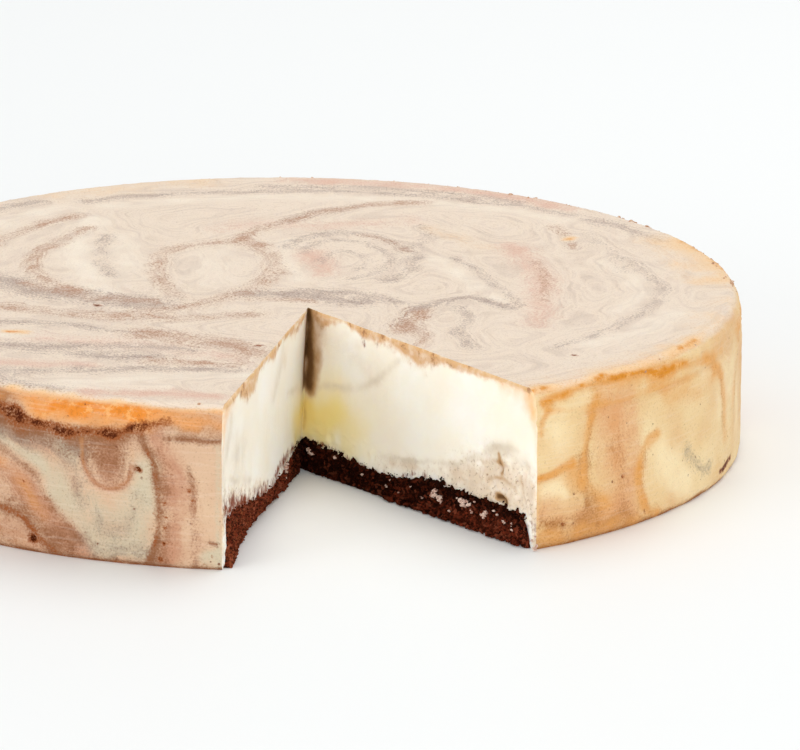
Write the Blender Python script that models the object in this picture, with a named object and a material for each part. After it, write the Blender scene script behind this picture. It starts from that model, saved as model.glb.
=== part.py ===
"""Marble cheesecake with one slice taken out: a marbled filling over a cocoa crumb base.

Both solids start as one template pie of radius 1 and height 1, swept around Z with the slice left open.
Each template point is (share of the way out, angle, share of the way up), and is then placed at its real size.
Metres, +Z up, origin at the middle of the round base on the surface that it rests on.
"""

import math

import bmesh
import bpy
from mathutils import Matrix, Vector, noise

# Size of the whole cake, from a pan of about 230 mm
PAN_RADIUS = 0.114
CAKE_HEIGHT = 0.039

# The slice: its tip lies in front of the middle, and the knife leaned a little
SLICE_TIP_TOP = Vector((0.0070, -0.0211))
SLICE_TIP_FLOOR = Vector((0.0051, -0.0271))
RIGHT_CUT = math.radians(-58.0)
LEFT_CUT = math.radians(263.3)
SWEEP = LEFT_CUT - RIGHT_CUT

# Crumb base
BASE_INSET = 0.0025
TIP_THICKNESS = 0.0070
THIN_PLACE = 0.0052
RIGHT_BUMP = 0.0024
LEFT_RISE = 0.0070
EDGE_WALL = 0.0012
EDGE_ROUND_RIGHT = 0.0070
EDGE_ROUND_LEFT = 0.0035
CRAG_HEIGHT = 0.0007
CRAG_SIZE = 0.0040
CRUMB_DEPTH = 0.0011
CRUMB_SIZE = 0.0024
FIT_GAP = 0.0003

# Outside of the filling: the upright wall, a crease, the leaning browned band and the rounded rim
CREASE = 0.805
CREASE_WIDTH = 0.018
CREASE_DEPTH = 0.0009
BAND_LEAN = 0.0011
FRONT_LEAN = 0.0016
FRONT_LEAN_AT = math.radians(243.0)
FRONT_LEAN_SPREAD = math.radians(16.0)
RIM_ROUND = 0.0030
FOOT_ROUND = 0.0006
FOOT_WIDTH = 0.015
OUTLINE_WOBBLE = 0.0004
CREASE_WOBBLE = 0.0007
KNIFE_WAVE = 0.00035
KNIFE_WAVE_SIZE = 0.014

# How finely the template is divided
COLUMNS = 40
SPOKES = 30
WALL_STEPS_PER_SPOKE = 4
BASE_ROWS = 5
FILLING_ROWS = (0, 0.03, 0.2, 0.4, 0.6, CREASE - 0.03, CREASE, CREASE + 0.03, 0.9, 0.95, 0.982, 1)

# Shares of the way out in the filling's template: the edge over the crumb base, and the foot just outside it
OVER_BASE = 0.978
FOOT = 0.984


def smooth_step(value):
    value = min(max(value, 0.0), 1.0)
    return value * value * (3.0 - 2.0 * value)


def hump(value, centre, spread):
    return math.exp(-(((value - centre) / spread) ** 2))


def rough(x, y, z, grain):
    """Smooth noise of about -1 to 1 whose lumps are about one grain across."""
    return noise.noise(Vector((x, y, z)) / grain)


def round_noise(angle, ripples, seed):
    """Noise around the cake that has no seam."""
    return noise.noise(Vector((math.cos(angle) * ripples, math.sin(angle) * ripples, seed)))


def slice_tip(height):
    """Where the knife's two cuts meet, at a height above the surface."""
    return SLICE_TIP_FLOOR.lerp(SLICE_TIP_TOP, height / CAKE_HEIGHT)


def wall_radius(angle, up):
    """Radius of the outside at a share of the height."""
    radius = PAN_RADIUS + OUTLINE_WOBBLE * round_noise(angle, 2.2, 3.1)
    radius -= FOOT_ROUND * hump(up, 0.0, FOOT_WIDTH) + CREASE_DEPTH * hump(up, CREASE, CREASE_WIDTH)
    climbed = max(0.0, (up - CREASE) / (1.0 - CREASE))
    lean = BAND_LEAN + FRONT_LEAN * hump(angle, FRONT_LEAN_AT, FRONT_LEAN_SPREAD)
    return radius - lean * climbed - RIM_ROUND * (1.0 - math.sqrt(1.0 - smooth_step(climbed) ** 5))


def crease_lift(angle, up):
    """The crease wanders up and down along the wall."""
    return CREASE_WOBBLE * hump(up, CREASE, 0.09) * round_noise(angle, 9.0, 7.7)


def base_thickness(out, angle):
    """Height of the crumb base at a share of the way from the slice's tip to its edge."""
    across = smooth_step((angle - RIGHT_CUT) / SWEEP)
    way = out * (PAN_RADIUS - slice_tip(0.0).length)
    at_tip = (TIP_THICKNESS - THIN_PLACE) * hump(way, 0.0, 0.016)
    right = THIN_PLACE + at_tip + RIGHT_BUMP * smooth_step((way - 0.034) / 0.014)
    left = THIN_PLACE + at_tip + LEFT_RISE * smooth_step((way - 0.018) / 0.070)
    thickness = right * (1.0 - across) + left * across
    thickness += CRAG_HEIGHT * rough(way, 0.03 * angle, 0.0, CRAG_SIZE) * smooth_step(out / 0.06)
    edge_round = EDGE_ROUND_RIGHT * (1.0 - across) + EDGE_ROUND_LEFT * across
    from_edge = min(max((1.0 - out) * PAN_RADIUS / edge_round, 0.0), 1.0)
    return EDGE_WALL + (thickness - EDGE_WALL) * math.sqrt(1.0 - (1.0 - from_edge) ** 2)


def place(out, angle, height, radius):
    """A point of the pie, slid towards the slice's tip by how far it is from the wall."""
    tip = slice_tip(height) * (1.0 - out)
    return Vector((radius * math.cos(angle) + tip.x, radius * math.sin(angle) + tip.y, height))


def layer_point(share, angle, gap):
    """A point of the surface where base and filling meet, at a gap above and outside of the base."""
    edge = wall_radius(angle, 0.0) - BASE_INSET
    height = base_thickness(share, angle) + gap
    return place(share * edge / PAN_RADIUS, angle, height, share * (edge + gap))


def pie_place(point):
    """Share of the way out, angle from the right cut on, and share of the way up of a template point."""
    angle = math.atan2(point.y, point.x)
    if angle < RIGHT_CUT - 0.01:
        angle += math.tau
    return math.hypot(point.x, point.y), angle, point.z


def share_columns(last):
    """Shares of the way out, closer together towards the wall."""
    return [last * (i / COLUMNS) ** 0.88 for i in range(COLUMNS + 1)]


def template_grid(columns, rows):
    """Points of the upright face at the right cut: rows upwards of columns outwards."""
    bm = bmesh.new()
    turned = Matrix.Rotation(RIGHT_CUT, 3, "Z")
    return bm, [[bm.verts.new(turned @ Vector((out, 0.0, up))) for out in columns] for up in rows]


def sweep(bm, verts, steps):
    """Spins a line of template points from the right cut round to the left one."""
    edges = [bm.edges.new(pair) for pair in zip(verts, verts[1:])]
    before = set(bm.faces)
    bmesh.ops.spin(bm, geom=verts + edges, cent=(0, 0, 0), axis=(0, 0, 1), angle=SWEEP, steps=steps)
    return [face for face in bm.faces if face not in before]


def sweep_layer(bm, verts):
    """Sweeps the surface where base and filling meet, split into triangles alike for both."""
    bmesh.ops.triangulate(bm, faces=sweep(bm, verts, SPOKES), quad_method="FIXED")


def close_pie(bm, grid):
    """Adds both cut faces, joins all and fills the flat faces that are still open."""
    faces = []
    for low, high in zip(grid, grid[1:]):
        faces += [bm.faces.new((low[i], low[i + 1], high[i + 1], high[i])) for i in range(len(low) - 1)]
    copied = bmesh.ops.duplicate(bm, geom=faces)["geom"]
    other_face = [part for part in copied if isinstance(part, bmesh.types.BMVert)]
    bmesh.ops.rotate(bm, verts=other_face, cent=(0, 0, 0), matrix=Matrix.Rotation(SWEEP, 3, "Z"))
    bmesh.ops.remove_doubles(bm, verts=bm.verts, dist=0.00001)
    bmesh.ops.holes_fill(bm, edges=bm.edges, sides=0)
    bmesh.ops.recalc_face_normals(bm, faces=bm.faces)


def out_of_cut(angle):
    """Direction out of the cut face at this angle into the empty slice, or none off the cuts."""
    for cut, side in ((RIGHT_CUT, 1.0), (LEFT_CUT, -1.0)):
        if abs(angle - cut) < 0.001:
            along = Vector((math.cos(cut), math.sin(cut))) * PAN_RADIUS - SLICE_TIP_FLOOR
            return Vector((along.y, -along.x, 0.0)).normalized() * side
    return Vector()


def crumb_base_mesh():
    """The pressed crumb layer: flat below, craggy on top and crumbly where it is cut."""
    bm, grid = template_grid(share_columns(1.0), [i / BASE_ROWS for i in range(BASE_ROWS + 1)])
    sweep_layer(bm, grid[-1])
    sweep(bm, [row[-1] for row in grid], SPOKES)
    close_pie(bm, grid)
    for vert in bm.verts:
        share, angle, up = pie_place(vert.co)
        point = layer_point(share, angle, 0.0)
        point.z *= up
        crumbs = CRUMB_DEPTH * (0.6 + rough(*point, CRUMB_SIZE)) * smooth_step(share / 0.10)
        vert.co = point + out_of_cut(angle) * crumbs
    return bm


def filling_floor(out, angle):
    """Underside of the filling: over the base, down past its edge, and the foot on the surface."""
    if out < OVER_BASE + 0.001:
        return layer_point(out / OVER_BASE, angle, FIT_GAP)
    if out < FOOT + 0.001:
        point = layer_point(1.0, angle, 2.0 * FIT_GAP)
        point.z = 0.0
        return point
    return place(1.0, angle, 0.0, wall_radius(angle, 0.0))


def filling_mesh():
    """The marbled filling, which also comes down around the crumb base to the surface."""
    over_base = share_columns(OVER_BASE)
    bm, grid = template_grid(over_base + [FOOT, 1.0], FILLING_ROWS)
    sweep_layer(bm, grid[0][:-1])
    sweep(bm, [row[-1] for row in grid], SPOKES * WALL_STEPS_PER_SPOKE)
    close_pie(bm, grid)
    for vert in bm.verts:
        out, angle, up = pie_place(vert.co)
        point = filling_floor(out, angle)
        if up > 0.0:
            height = point.z + (CAKE_HEIGHT - point.z) * up
            if out > FOOT + 0.001:
                height += crease_lift(angle, up)
            point = place(out, angle, height, out * wall_radius(angle, up))
        wave = KNIFE_WAVE * rough(point.x, point.y, point.z, KNIFE_WAVE_SIZE) * smooth_step(out / 0.2)
        vert.co = point + out_of_cut(angle) * wave
    return bm


def food_material(name, colour, roughness):
    material = bpy.data.materials.new(name)
    material.use_nodes = True
    shader = material.node_tree.nodes["Principled BSDF"]
    shader.inputs["Base Color"].default_value = (*colour, 1.0)
    shader.inputs["Roughness"].default_value = roughness
    shader.inputs["Metallic"].default_value = 0.0
    return material


def add_piece(name, bm, material):
    mesh = bpy.data.meshes.new(name)
    bm.to_mesh(mesh)
    bm.free()
    mesh.materials.append(material)
    mesh.shade_smooth()
    mesh.set_sharp_from_angle(angle=math.radians(35.0))
    piece = bpy.data.objects.new(name, mesh)
    bpy.context.scene.collection.objects.link(piece)
    return piece


def main():
    for old in list(bpy.data.objects):
        bpy.data.objects.remove(old)
    add_piece("crumb_base", crumb_base_mesh(), food_material("cocoa_crumb", (0.055, 0.018, 0.010), 0.9))
    add_piece("cheesecake_filling", filling_mesh(), food_material("marbled_filling", (0.80, 0.66, 0.50), 0.55))


main()
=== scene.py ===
"""Looks of a marble cheesecake with one slice taken out, laid out as an add-on and run as a script.

The filling and the crumb base both start as a square sheet of cells that is slit from its middle to its
front edge, raised to a block and mapped onto the round cake, so that the slit opens into the empty slice.
The marbling is painted along named strokes, in millimetres, on the top, the wall and the two cut faces.
"""

import math

import bmesh
import bpy
import numpy as np
from mathutils import Matrix, Vector, noise


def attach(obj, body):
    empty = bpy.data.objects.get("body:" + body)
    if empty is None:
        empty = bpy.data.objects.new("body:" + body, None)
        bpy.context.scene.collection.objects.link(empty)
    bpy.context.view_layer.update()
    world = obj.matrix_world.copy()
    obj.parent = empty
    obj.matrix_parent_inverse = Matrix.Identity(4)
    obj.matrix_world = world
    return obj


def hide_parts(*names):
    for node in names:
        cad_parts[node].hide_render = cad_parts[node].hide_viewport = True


bl_info = {
    "name": "Marble Cheesecake",
    "version": (1, 0, 0),
    "blender": (4, 5, 0),
    "location": "View3D > Sidebar > Cheesecake",
    "description": "Models a cut marble cheesecake over its crumb base, with its stage",
    "category": "Add Mesh",
}

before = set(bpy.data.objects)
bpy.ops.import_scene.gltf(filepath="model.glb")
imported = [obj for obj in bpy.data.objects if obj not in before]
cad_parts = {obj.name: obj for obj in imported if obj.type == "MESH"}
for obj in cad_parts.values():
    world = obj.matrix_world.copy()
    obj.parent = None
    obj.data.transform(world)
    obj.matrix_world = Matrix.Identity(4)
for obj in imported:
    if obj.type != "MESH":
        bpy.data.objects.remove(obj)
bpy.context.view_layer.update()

MM = 0.001

# The cake and its slice, as in the solids
PAN_RADIUS = 0.114
CAKE_HEIGHT = 0.039
SLICE_TIP_TOP = np.array((0.0070, -0.0211))
SLICE_TIP_FLOOR = np.array((0.0051, -0.0271))
RIGHT_CUT = math.radians(-58.0)
LEFT_CUT = math.radians(263.3)
SWEEP = LEFT_CUT - RIGHT_CUT
CUT_LENGTH = PAN_RADIUS - float(np.hypot(*SLICE_TIP_FLOOR))
OUTLINE_WOBBLE = 0.0004

# Millimetres round the wall in each degree
ROUND_MM = math.radians(PAN_RADIUS / MM)

# Crumb base, nearly as in the solids: it is thinner along the left cut, where its foot has crumbled
BASE_INSET = 0.0025
TIP_THICKNESS = 0.0070
TIP_SPREAD = 0.016
THIN_PLACE = 0.0052
RIGHT_BUMP = 0.0024
RIGHT_BUMP_STRETCH = (0.034, 0.048)
LEFT_RISE = 0.0056
LEFT_RISE_STRETCH = (0.034, 0.088)
LEFT_DIP = 0.0013
LEFT_DIP_AT = 0.026
LEFT_DIP_SPREAD = 0.020
UNDERCUT = 0.0020
UNDERCUT_AT = 0.048
UNDERCUT_SPREAD = 0.022
UNDERCUT_REACH = 0.014
SPILL = 0.0018
SPILL_AT = 0.090
SPILL_SPREAD = 0.013
EDGE_WALL = 0.0012
EDGE_ROUND_RIGHT = 0.0070
EDGE_ROUND_LEFT = 0.0035
CRAG_HEIGHT = 0.0009
CRAG_SIZE = 0.0030
FIT_GAP = 0.0003

# Outside of the filling
RIM_ROW = 0.87
RIM_FOLD_HEIGHT = 0.0368
RIM_FOLD_WANDER = 0.0006
RIM_FOLD_DEPTH = 0.0005
RIM_FOLD_WIDTH = 0.0006
RIM_FOLD_AT = math.radians(314.0)
RIM_FOLD_SPREAD = math.radians(11.0)
BAND_LEAN = 0.0012
FRONT_LEAN = 0.0018
FRONT_LEAN_AT = math.radians(243.0)
FRONT_LEAN_SPREAD = math.radians(16.0)
CREASE_HEIGHT = 0.0313
CREASE_WANDER = 0.0012
CREASE_JITTER = 0.0003
CREASE_DEPTH = 0.0006
CREASE_WIDTH = 0.0007
FOOT_ROUND = 0.0008
FOOT_WIDTH = 0.0008

# Relief of the outside, as layers of lumps: depth, size, seed and octaves
WALL_RELIEF = ((0.00022, 0.009, 3.0, 3), (0.00007, 0.0016, 9.0, 1))
BAND_RELIEF = ((0.00035, 0.0022, 5.0, 2),)
BAND_EDGE = (0.030, 0.033)
TOP_RELIEF = ((0.00022, 0.016, 1.0, 2), (0.00006, 0.003, 2.0, 1))
TOP_SINK = 0.00012
RIM_GRAIN = 0.00050
RIM_GRAIN_SIZE = 0.0014

# Relief of the cut faces; the skin's foot is in millimetres of height
KNIFE_WAVE_SIZE = 0.014
DRAG_DEPTH = 0.00008
CRUMBLY_RELIEF = ((0.00030, 0.0016, 8.0, 2),)
SKIN_FOOT = 37.4
SKIN_WANDER = 0.9
SKIN_DEPTH = 0.00022

# Depth of a bubble for each millimetre of its radius, and how far past that its mouth reaches
WALL_PIT_DEPTH = 0.0012
WALL_PIT_MOUTH = 1.25
CUT_PIT_DEPTH = 0.0011
CUT_PIT_MOUTH = 1.2

# Cells of the square sheet, and how the rows and the cut faces are divided
FILLING_ROWS = 45
BASE_CELLS = 56
BASE_ROWS = 3
BASE_CUT_REFINE = 9
FILLING_CUT_REFINE = 1
SLIT = 0.0005
ON_CUT = 0.0001

# The underside's coarse part ends before the foot and stays clear of the slit
UNDERSIDE_REACH = 0.93
UNDERSIDE_CLEAR = 0.03
UNDERSIDE_DETAIL = 0.02

# How painted strokes wander and fade, in millimetres and in shares of a stroke's width
WANDER = 1.5
WANDER_SIZE = 9.0
FINE_WANDER = 0.33
FINE_WANDER_SIZE = 2.4
PATCHY = 0.55
PATCH_SIZE = 8.0
SOFT_EDGE = 1.9
SOFT_SHARE = 0.45
FLOW_BLEND = 4.0
FAR_FROM_ALL = 0.002


def smooth_step(value, low=0.0, high=1.0):
    value = np.clip((value - low) / (high - low), 0.0, 1.0)
    return value * value * (3.0 - 2.0 * value)


def hump(value, centre, spread):
    return np.exp(-(((value - centre) / spread) ** 2))


def lumps(points, size, seed=0.0, octaves=1):
    """Smooth noise of about -1 to 1 at each point, with lumps of about this size."""
    scaled = (np.asarray(points) / size + seed).tolist()
    if octaves == 1:
        return np.array([noise.noise(point) for point in scaled])
    return np.array([noise.fractal(point, 1.0, 2.0, octaves) for point in scaled])


def relief(points, layers):
    """Sum of layers of lumps, each with its depth, size, seed and octaves."""
    return sum(depth * lumps(points, size, seed, octaves) for depth, size, seed, octaves in layers)


def round_lumps(angle, ripples, seed):
    """Noise around the cake that has no seam."""
    circle = (np.cos(angle) * ripples, np.sin(angle) * ripples, np.full_like(angle, seed))
    return lumps(np.stack(circle, axis=-1), 1.0)


def slice_tip(height):
    """Where the two cuts meet at each height."""
    share = (height / CAKE_HEIGHT)[:, None]
    return SLICE_TIP_FLOOR * (1.0 - share) + SLICE_TIP_TOP * share


def place(out, angle, height, radius):
    """Points of the pie, slid towards the slice's tip by how far they are from the wall."""
    tip = slice_tip(height) * (1.0 - out)[:, None]
    x = radius * np.cos(angle) + tip[:, 0]
    y = radius * np.sin(angle) + tip[:, 1]
    return np.stack((x, y, height), axis=1)


def base_thickness(share, angle):
    """Height of the crumb base at a share of the way from the slice's tip to its edge."""
    across = smooth_step((angle - RIGHT_CUT) / SWEEP)
    way = share * CUT_LENGTH
    at_tip = THIN_PLACE + (TIP_THICKNESS - THIN_PLACE) * hump(way, 0.0, TIP_SPREAD)
    right = at_tip + RIGHT_BUMP * smooth_step(way, *RIGHT_BUMP_STRETCH)
    left = at_tip + LEFT_RISE * smooth_step(way, *LEFT_RISE_STRETCH)
    left -= LEFT_DIP * hump(way, LEFT_DIP_AT, LEFT_DIP_SPREAD)
    thickness = right * (1.0 - across) + left * across
    crags = lumps(np.stack((way, 0.03 * angle, 0.0 * way), axis=1), CRAG_SIZE, octaves=3)
    thickness = thickness + CRAG_HEIGHT * crags * smooth_step(share, 0.0, 0.06)
    edge_round = EDGE_ROUND_RIGHT * (1.0 - across) + EDGE_ROUND_LEFT * across
    from_edge = np.clip((1.0 - share) * PAN_RADIUS / edge_round, 0.0, 1.0)
    return EDGE_WALL + (thickness - EDGE_WALL) * np.sqrt(1.0 - (1.0 - from_edge) ** 2)


def undercut(way, up):
    """How far the foot of the left cut has crumbled back, less what spills out next to the wall."""
    crumbled = UNDERCUT * hump(way, UNDERCUT_AT, UNDERCUT_SPREAD)
    return (crumbled - SPILL * hump(way, SPILL_AT, SPILL_SPREAD)) * (1.0 - up)


def pan_radius(angle):
    return PAN_RADIUS + OUTLINE_WOBBLE * round_lumps(angle, 2.2, 3.1)


def select_nothing():
    if bpy.context.object and bpy.context.object.mode != "OBJECT":
        bpy.ops.object.mode_set(mode="OBJECT")
    bpy.ops.object.select_all(action="DESELECT")


def pick(kind, test):
    """Selects in edit mode just the edges or faces that pass a test."""
    mesh = bpy.context.object.data
    bm = bmesh.from_edit_mesh(mesh)
    bpy.ops.mesh.select_all(action="DESELECT")
    bpy.ops.mesh.select_mode(type=kind)
    for part in bm.edges if kind == "EDGE" else bm.faces:
        part.select_set(test(part))
    bmesh.update_edit_mesh(mesh)


def on_slit(face):
    return all(abs(vert.co.x) < 2.0 * SLIT and vert.co.y < SLIT for vert in face.verts)


def add_slit_block(name, cells, rows, refine):
    """A block of 2 by 2 by 1, divided into cells and rows and slit from its middle to its front."""
    select_nothing()
    bpy.ops.mesh.primitive_grid_add(x_subdivisions=cells, y_subdivisions=cells, size=2)
    piece = bpy.context.object
    piece.name = name
    bpy.ops.object.mode_set(mode="EDIT")
    pick("EDGE", lambda edge: all(abs(vert.co.x) < SLIT and vert.co.y < SLIT for vert in edge.verts))
    bpy.ops.mesh.edge_split()
    bm = bmesh.from_edit_mesh(piece.data)
    for vert in bm.verts:
        if abs(vert.co.x) < SLIT and vert.co.y < -SLIT:
            side = sum(face.calc_center_median().x for face in vert.link_faces)
            vert.co.x = math.copysign(SLIT, side)
    bmesh.update_edit_mesh(piece.data)
    bpy.ops.mesh.select_all(action="SELECT")
    bpy.ops.mesh.extrude_region_move(TRANSFORM_OT_translate={"value": (0, 0, 1)})
    pick("EDGE", lambda edge: abs(edge.verts[0].co.z - edge.verts[1].co.z) > 0.5)
    bpy.ops.mesh.subdivide(number_cuts=rows - 1)
    pick("FACE", on_slit)
    bpy.ops.mesh.subdivide(number_cuts=refine)
    return piece


def refine_front_wall():
    """Halves the cells of the wall left and right of the slice, which carry the finest marks."""
    pick("FACE", lambda face: all(vert.co.y < -0.9999 for vert in face.verts))
    bpy.ops.mesh.subdivide(number_cuts=1)


def read_points(piece):
    points = np.empty(len(piece.data.vertices) * 3)
    piece.data.vertices.foreach_get("co", points)
    return points.reshape(-1, 3)


def write_points(piece, points):
    piece.data.vertices.foreach_set("co", np.ascontiguousarray(points, dtype=np.float32).ravel())
    piece.data.update()


def pie_places(points):
    """Share of the way out, angle, and share of the way up of each point of a slit block."""
    x = np.where((np.abs(points[:, 0]) < 2.0 * SLIT) & (points[:, 1] < SLIT), 0.0, points[:, 0])
    y = points[:, 1]
    share = np.maximum(np.abs(x), np.abs(y))
    safe = np.maximum(share, 1e-9)
    turn = np.where(x > np.abs(y), 2.0 + y / safe, 4.0 - x / safe)
    turn = np.where(-x > np.abs(y), 6.0 - y / safe, turn)
    front = -y >= np.abs(x)
    turn = np.where(front & (points[:, 0] > 0.0), x / safe, turn)
    turn = np.where(front & (points[:, 0] <= 0.0), 8.0 + x / safe, turn)
    return share, RIGHT_CUT + turn / 8.0 * SWEEP, points[:, 2]


def crease_height(angle):
    """Height of the crease under the browned band."""
    wander = CREASE_WANDER * round_lumps(angle, 7.0, 7.7)
    return CREASE_HEIGHT + wander + CREASE_JITTER * round_lumps(angle, 60.0, 1.0)


def wall_profile(row, angle, rim_round):
    """Radius and height of the outside, from the foot at row 0 over the rounded rim to row 1."""
    climb = np.minimum(row / RIM_ROW, 1.0)
    turn = np.clip((row - RIM_ROW) / (1.0 - RIM_ROW), 0.0, 1.0) * math.pi / 2.0
    height = climb * (CAKE_HEIGHT - rim_round) + rim_round * np.sin(turn)
    crease = crease_height(angle)
    above = np.clip((height - crease) / (CAKE_HEIGHT - crease), 0.0, 1.0)
    lean = BAND_LEAN + FRONT_LEAN * hump(angle, FRONT_LEAN_AT, FRONT_LEAN_SPREAD)
    radius = pan_radius(angle) - lean * above - rim_round * (1.0 - np.cos(turn))
    radius -= CREASE_DEPTH * hump(height, crease, CREASE_WIDTH) + FOOT_ROUND * hump(height, 0.0, FOOT_WIDTH)
    fold = hump(np.mod(angle, math.tau), RIM_FOLD_AT, RIM_FOLD_SPREAD)
    fold_height = RIM_FOLD_HEIGHT + RIM_FOLD_WANDER * round_lumps(angle, 9.0, 4.0)
    radius -= RIM_FOLD_DEPTH * fold * hump(height, fold_height, RIM_FOLD_WIDTH)
    return radius, height


def cut_directions():
    """The upright normals of the right and the left cut face, pointing into the empty slice."""
    normals = []
    for cut, side in ((RIGHT_CUT, 1.0), (LEFT_CUT, -1.0)):
        along = np.array((math.cos(cut), math.sin(cut))) * PAN_RADIUS - SLICE_TIP_FLOOR
        normals.append(np.array((along[1], -along[0], 0.0)) * side / np.hypot(*along))
    return normals


def cut_places(points):
    """Millimetres along the cut from the slice's tip, and of height, for points of a cut face."""
    from_tip = points[:, :2] - slice_tip(points[:, 2])
    return np.stack((np.hypot(from_tip[:, 0], from_tip[:, 1]), points[:, 2]), axis=1) / MM


def smooth_line(points, steps=7):
    """A smooth curve through given points, as a denser list of points."""
    known = np.array(points, dtype=float)
    known = np.vstack((2.0 * known[0] - known[1], known, 2.0 * known[-1] - known[-2]))
    curve = []
    for i in range(1, len(known) - 2):
        before, start, end, after = known[i - 1 : i + 3]
        for share in np.arange(steps) / steps:
            bend = (2.0 * before - 5.0 * start + 4.0 * end - after) * share**2
            twist = (3.0 * start - before - 3.0 * end + after) * share**3
            curve.append(0.5 * (2.0 * start + (end - before) * share + bend + twist))
    return np.array(curve + [known[-2]])


def distance_to_line(spots, line):
    nearest = np.full(len(spots), np.inf)
    for start, end in zip(line, line[1:]):
        along = end - start
        share = np.clip((spots - start) @ along / max(along @ along, 1e-9), 0.0, 1.0)
        away = spots - start - share[:, None] * along
        nearest = np.minimum(nearest, np.hypot(away[:, 0], away[:, 1]))
    return nearest


def sideways(flat, size, seeds, octaves=1):
    """Noise in both directions, one seed for each."""
    return np.stack([lumps(flat, size, seed, octaves) for seed in seeds], axis=1)


def paint(spots, strokes, tones):
    """Strength of each tone at each spot, and how far the spot lies from the nearest strokes."""
    flat = np.hstack((spots, np.zeros((len(spots), 1))))
    wander = WANDER * sideways(flat, WANDER_SIZE, (1.0, 40.0), 2)
    wander += FINE_WANDER * sideways(flat, FINE_WANDER_SIZE, (2.0, 50.0))
    patchy = 1.0 + PATCHY * lumps(flat, PATCH_SIZE, 20.0, 2)
    clear = {tone: np.ones(len(spots)) for tone in tones}
    near = np.full(len(spots), FAR_FROM_ALL)
    for tone, width, strength, points in strokes:
        line = smooth_line(points) if len(points) > 1 else np.array(points * 2, dtype=float)
        reach = 2.0 * width + 8.0 * FLOW_BLEND
        close = np.all((spots > line.min(axis=0) - reach) & (spots < line.max(axis=0) + reach), axis=1)
        away = distance_to_line(spots[close] + wander[close] * min(width / 3.0, 1.0), line)
        soft = SOFT_SHARE * smooth_step(1.0 - away / (SOFT_EDGE * width))
        covered = strength * patchy[close] * (soft + (1.0 - SOFT_SHARE) * smooth_step(1.0 - away / width))
        clear[tone][close] *= 1.0 - np.clip(covered, 0.0, 1.0)
        near[close] += np.exp(-away / FLOW_BLEND)
    return {tone: 1.0 - left for tone, left in clear.items()}, -FLOW_BLEND * np.log(near)


TONES = ("cocoa", "ash", "cream", "blush", "toast", "char")

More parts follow.
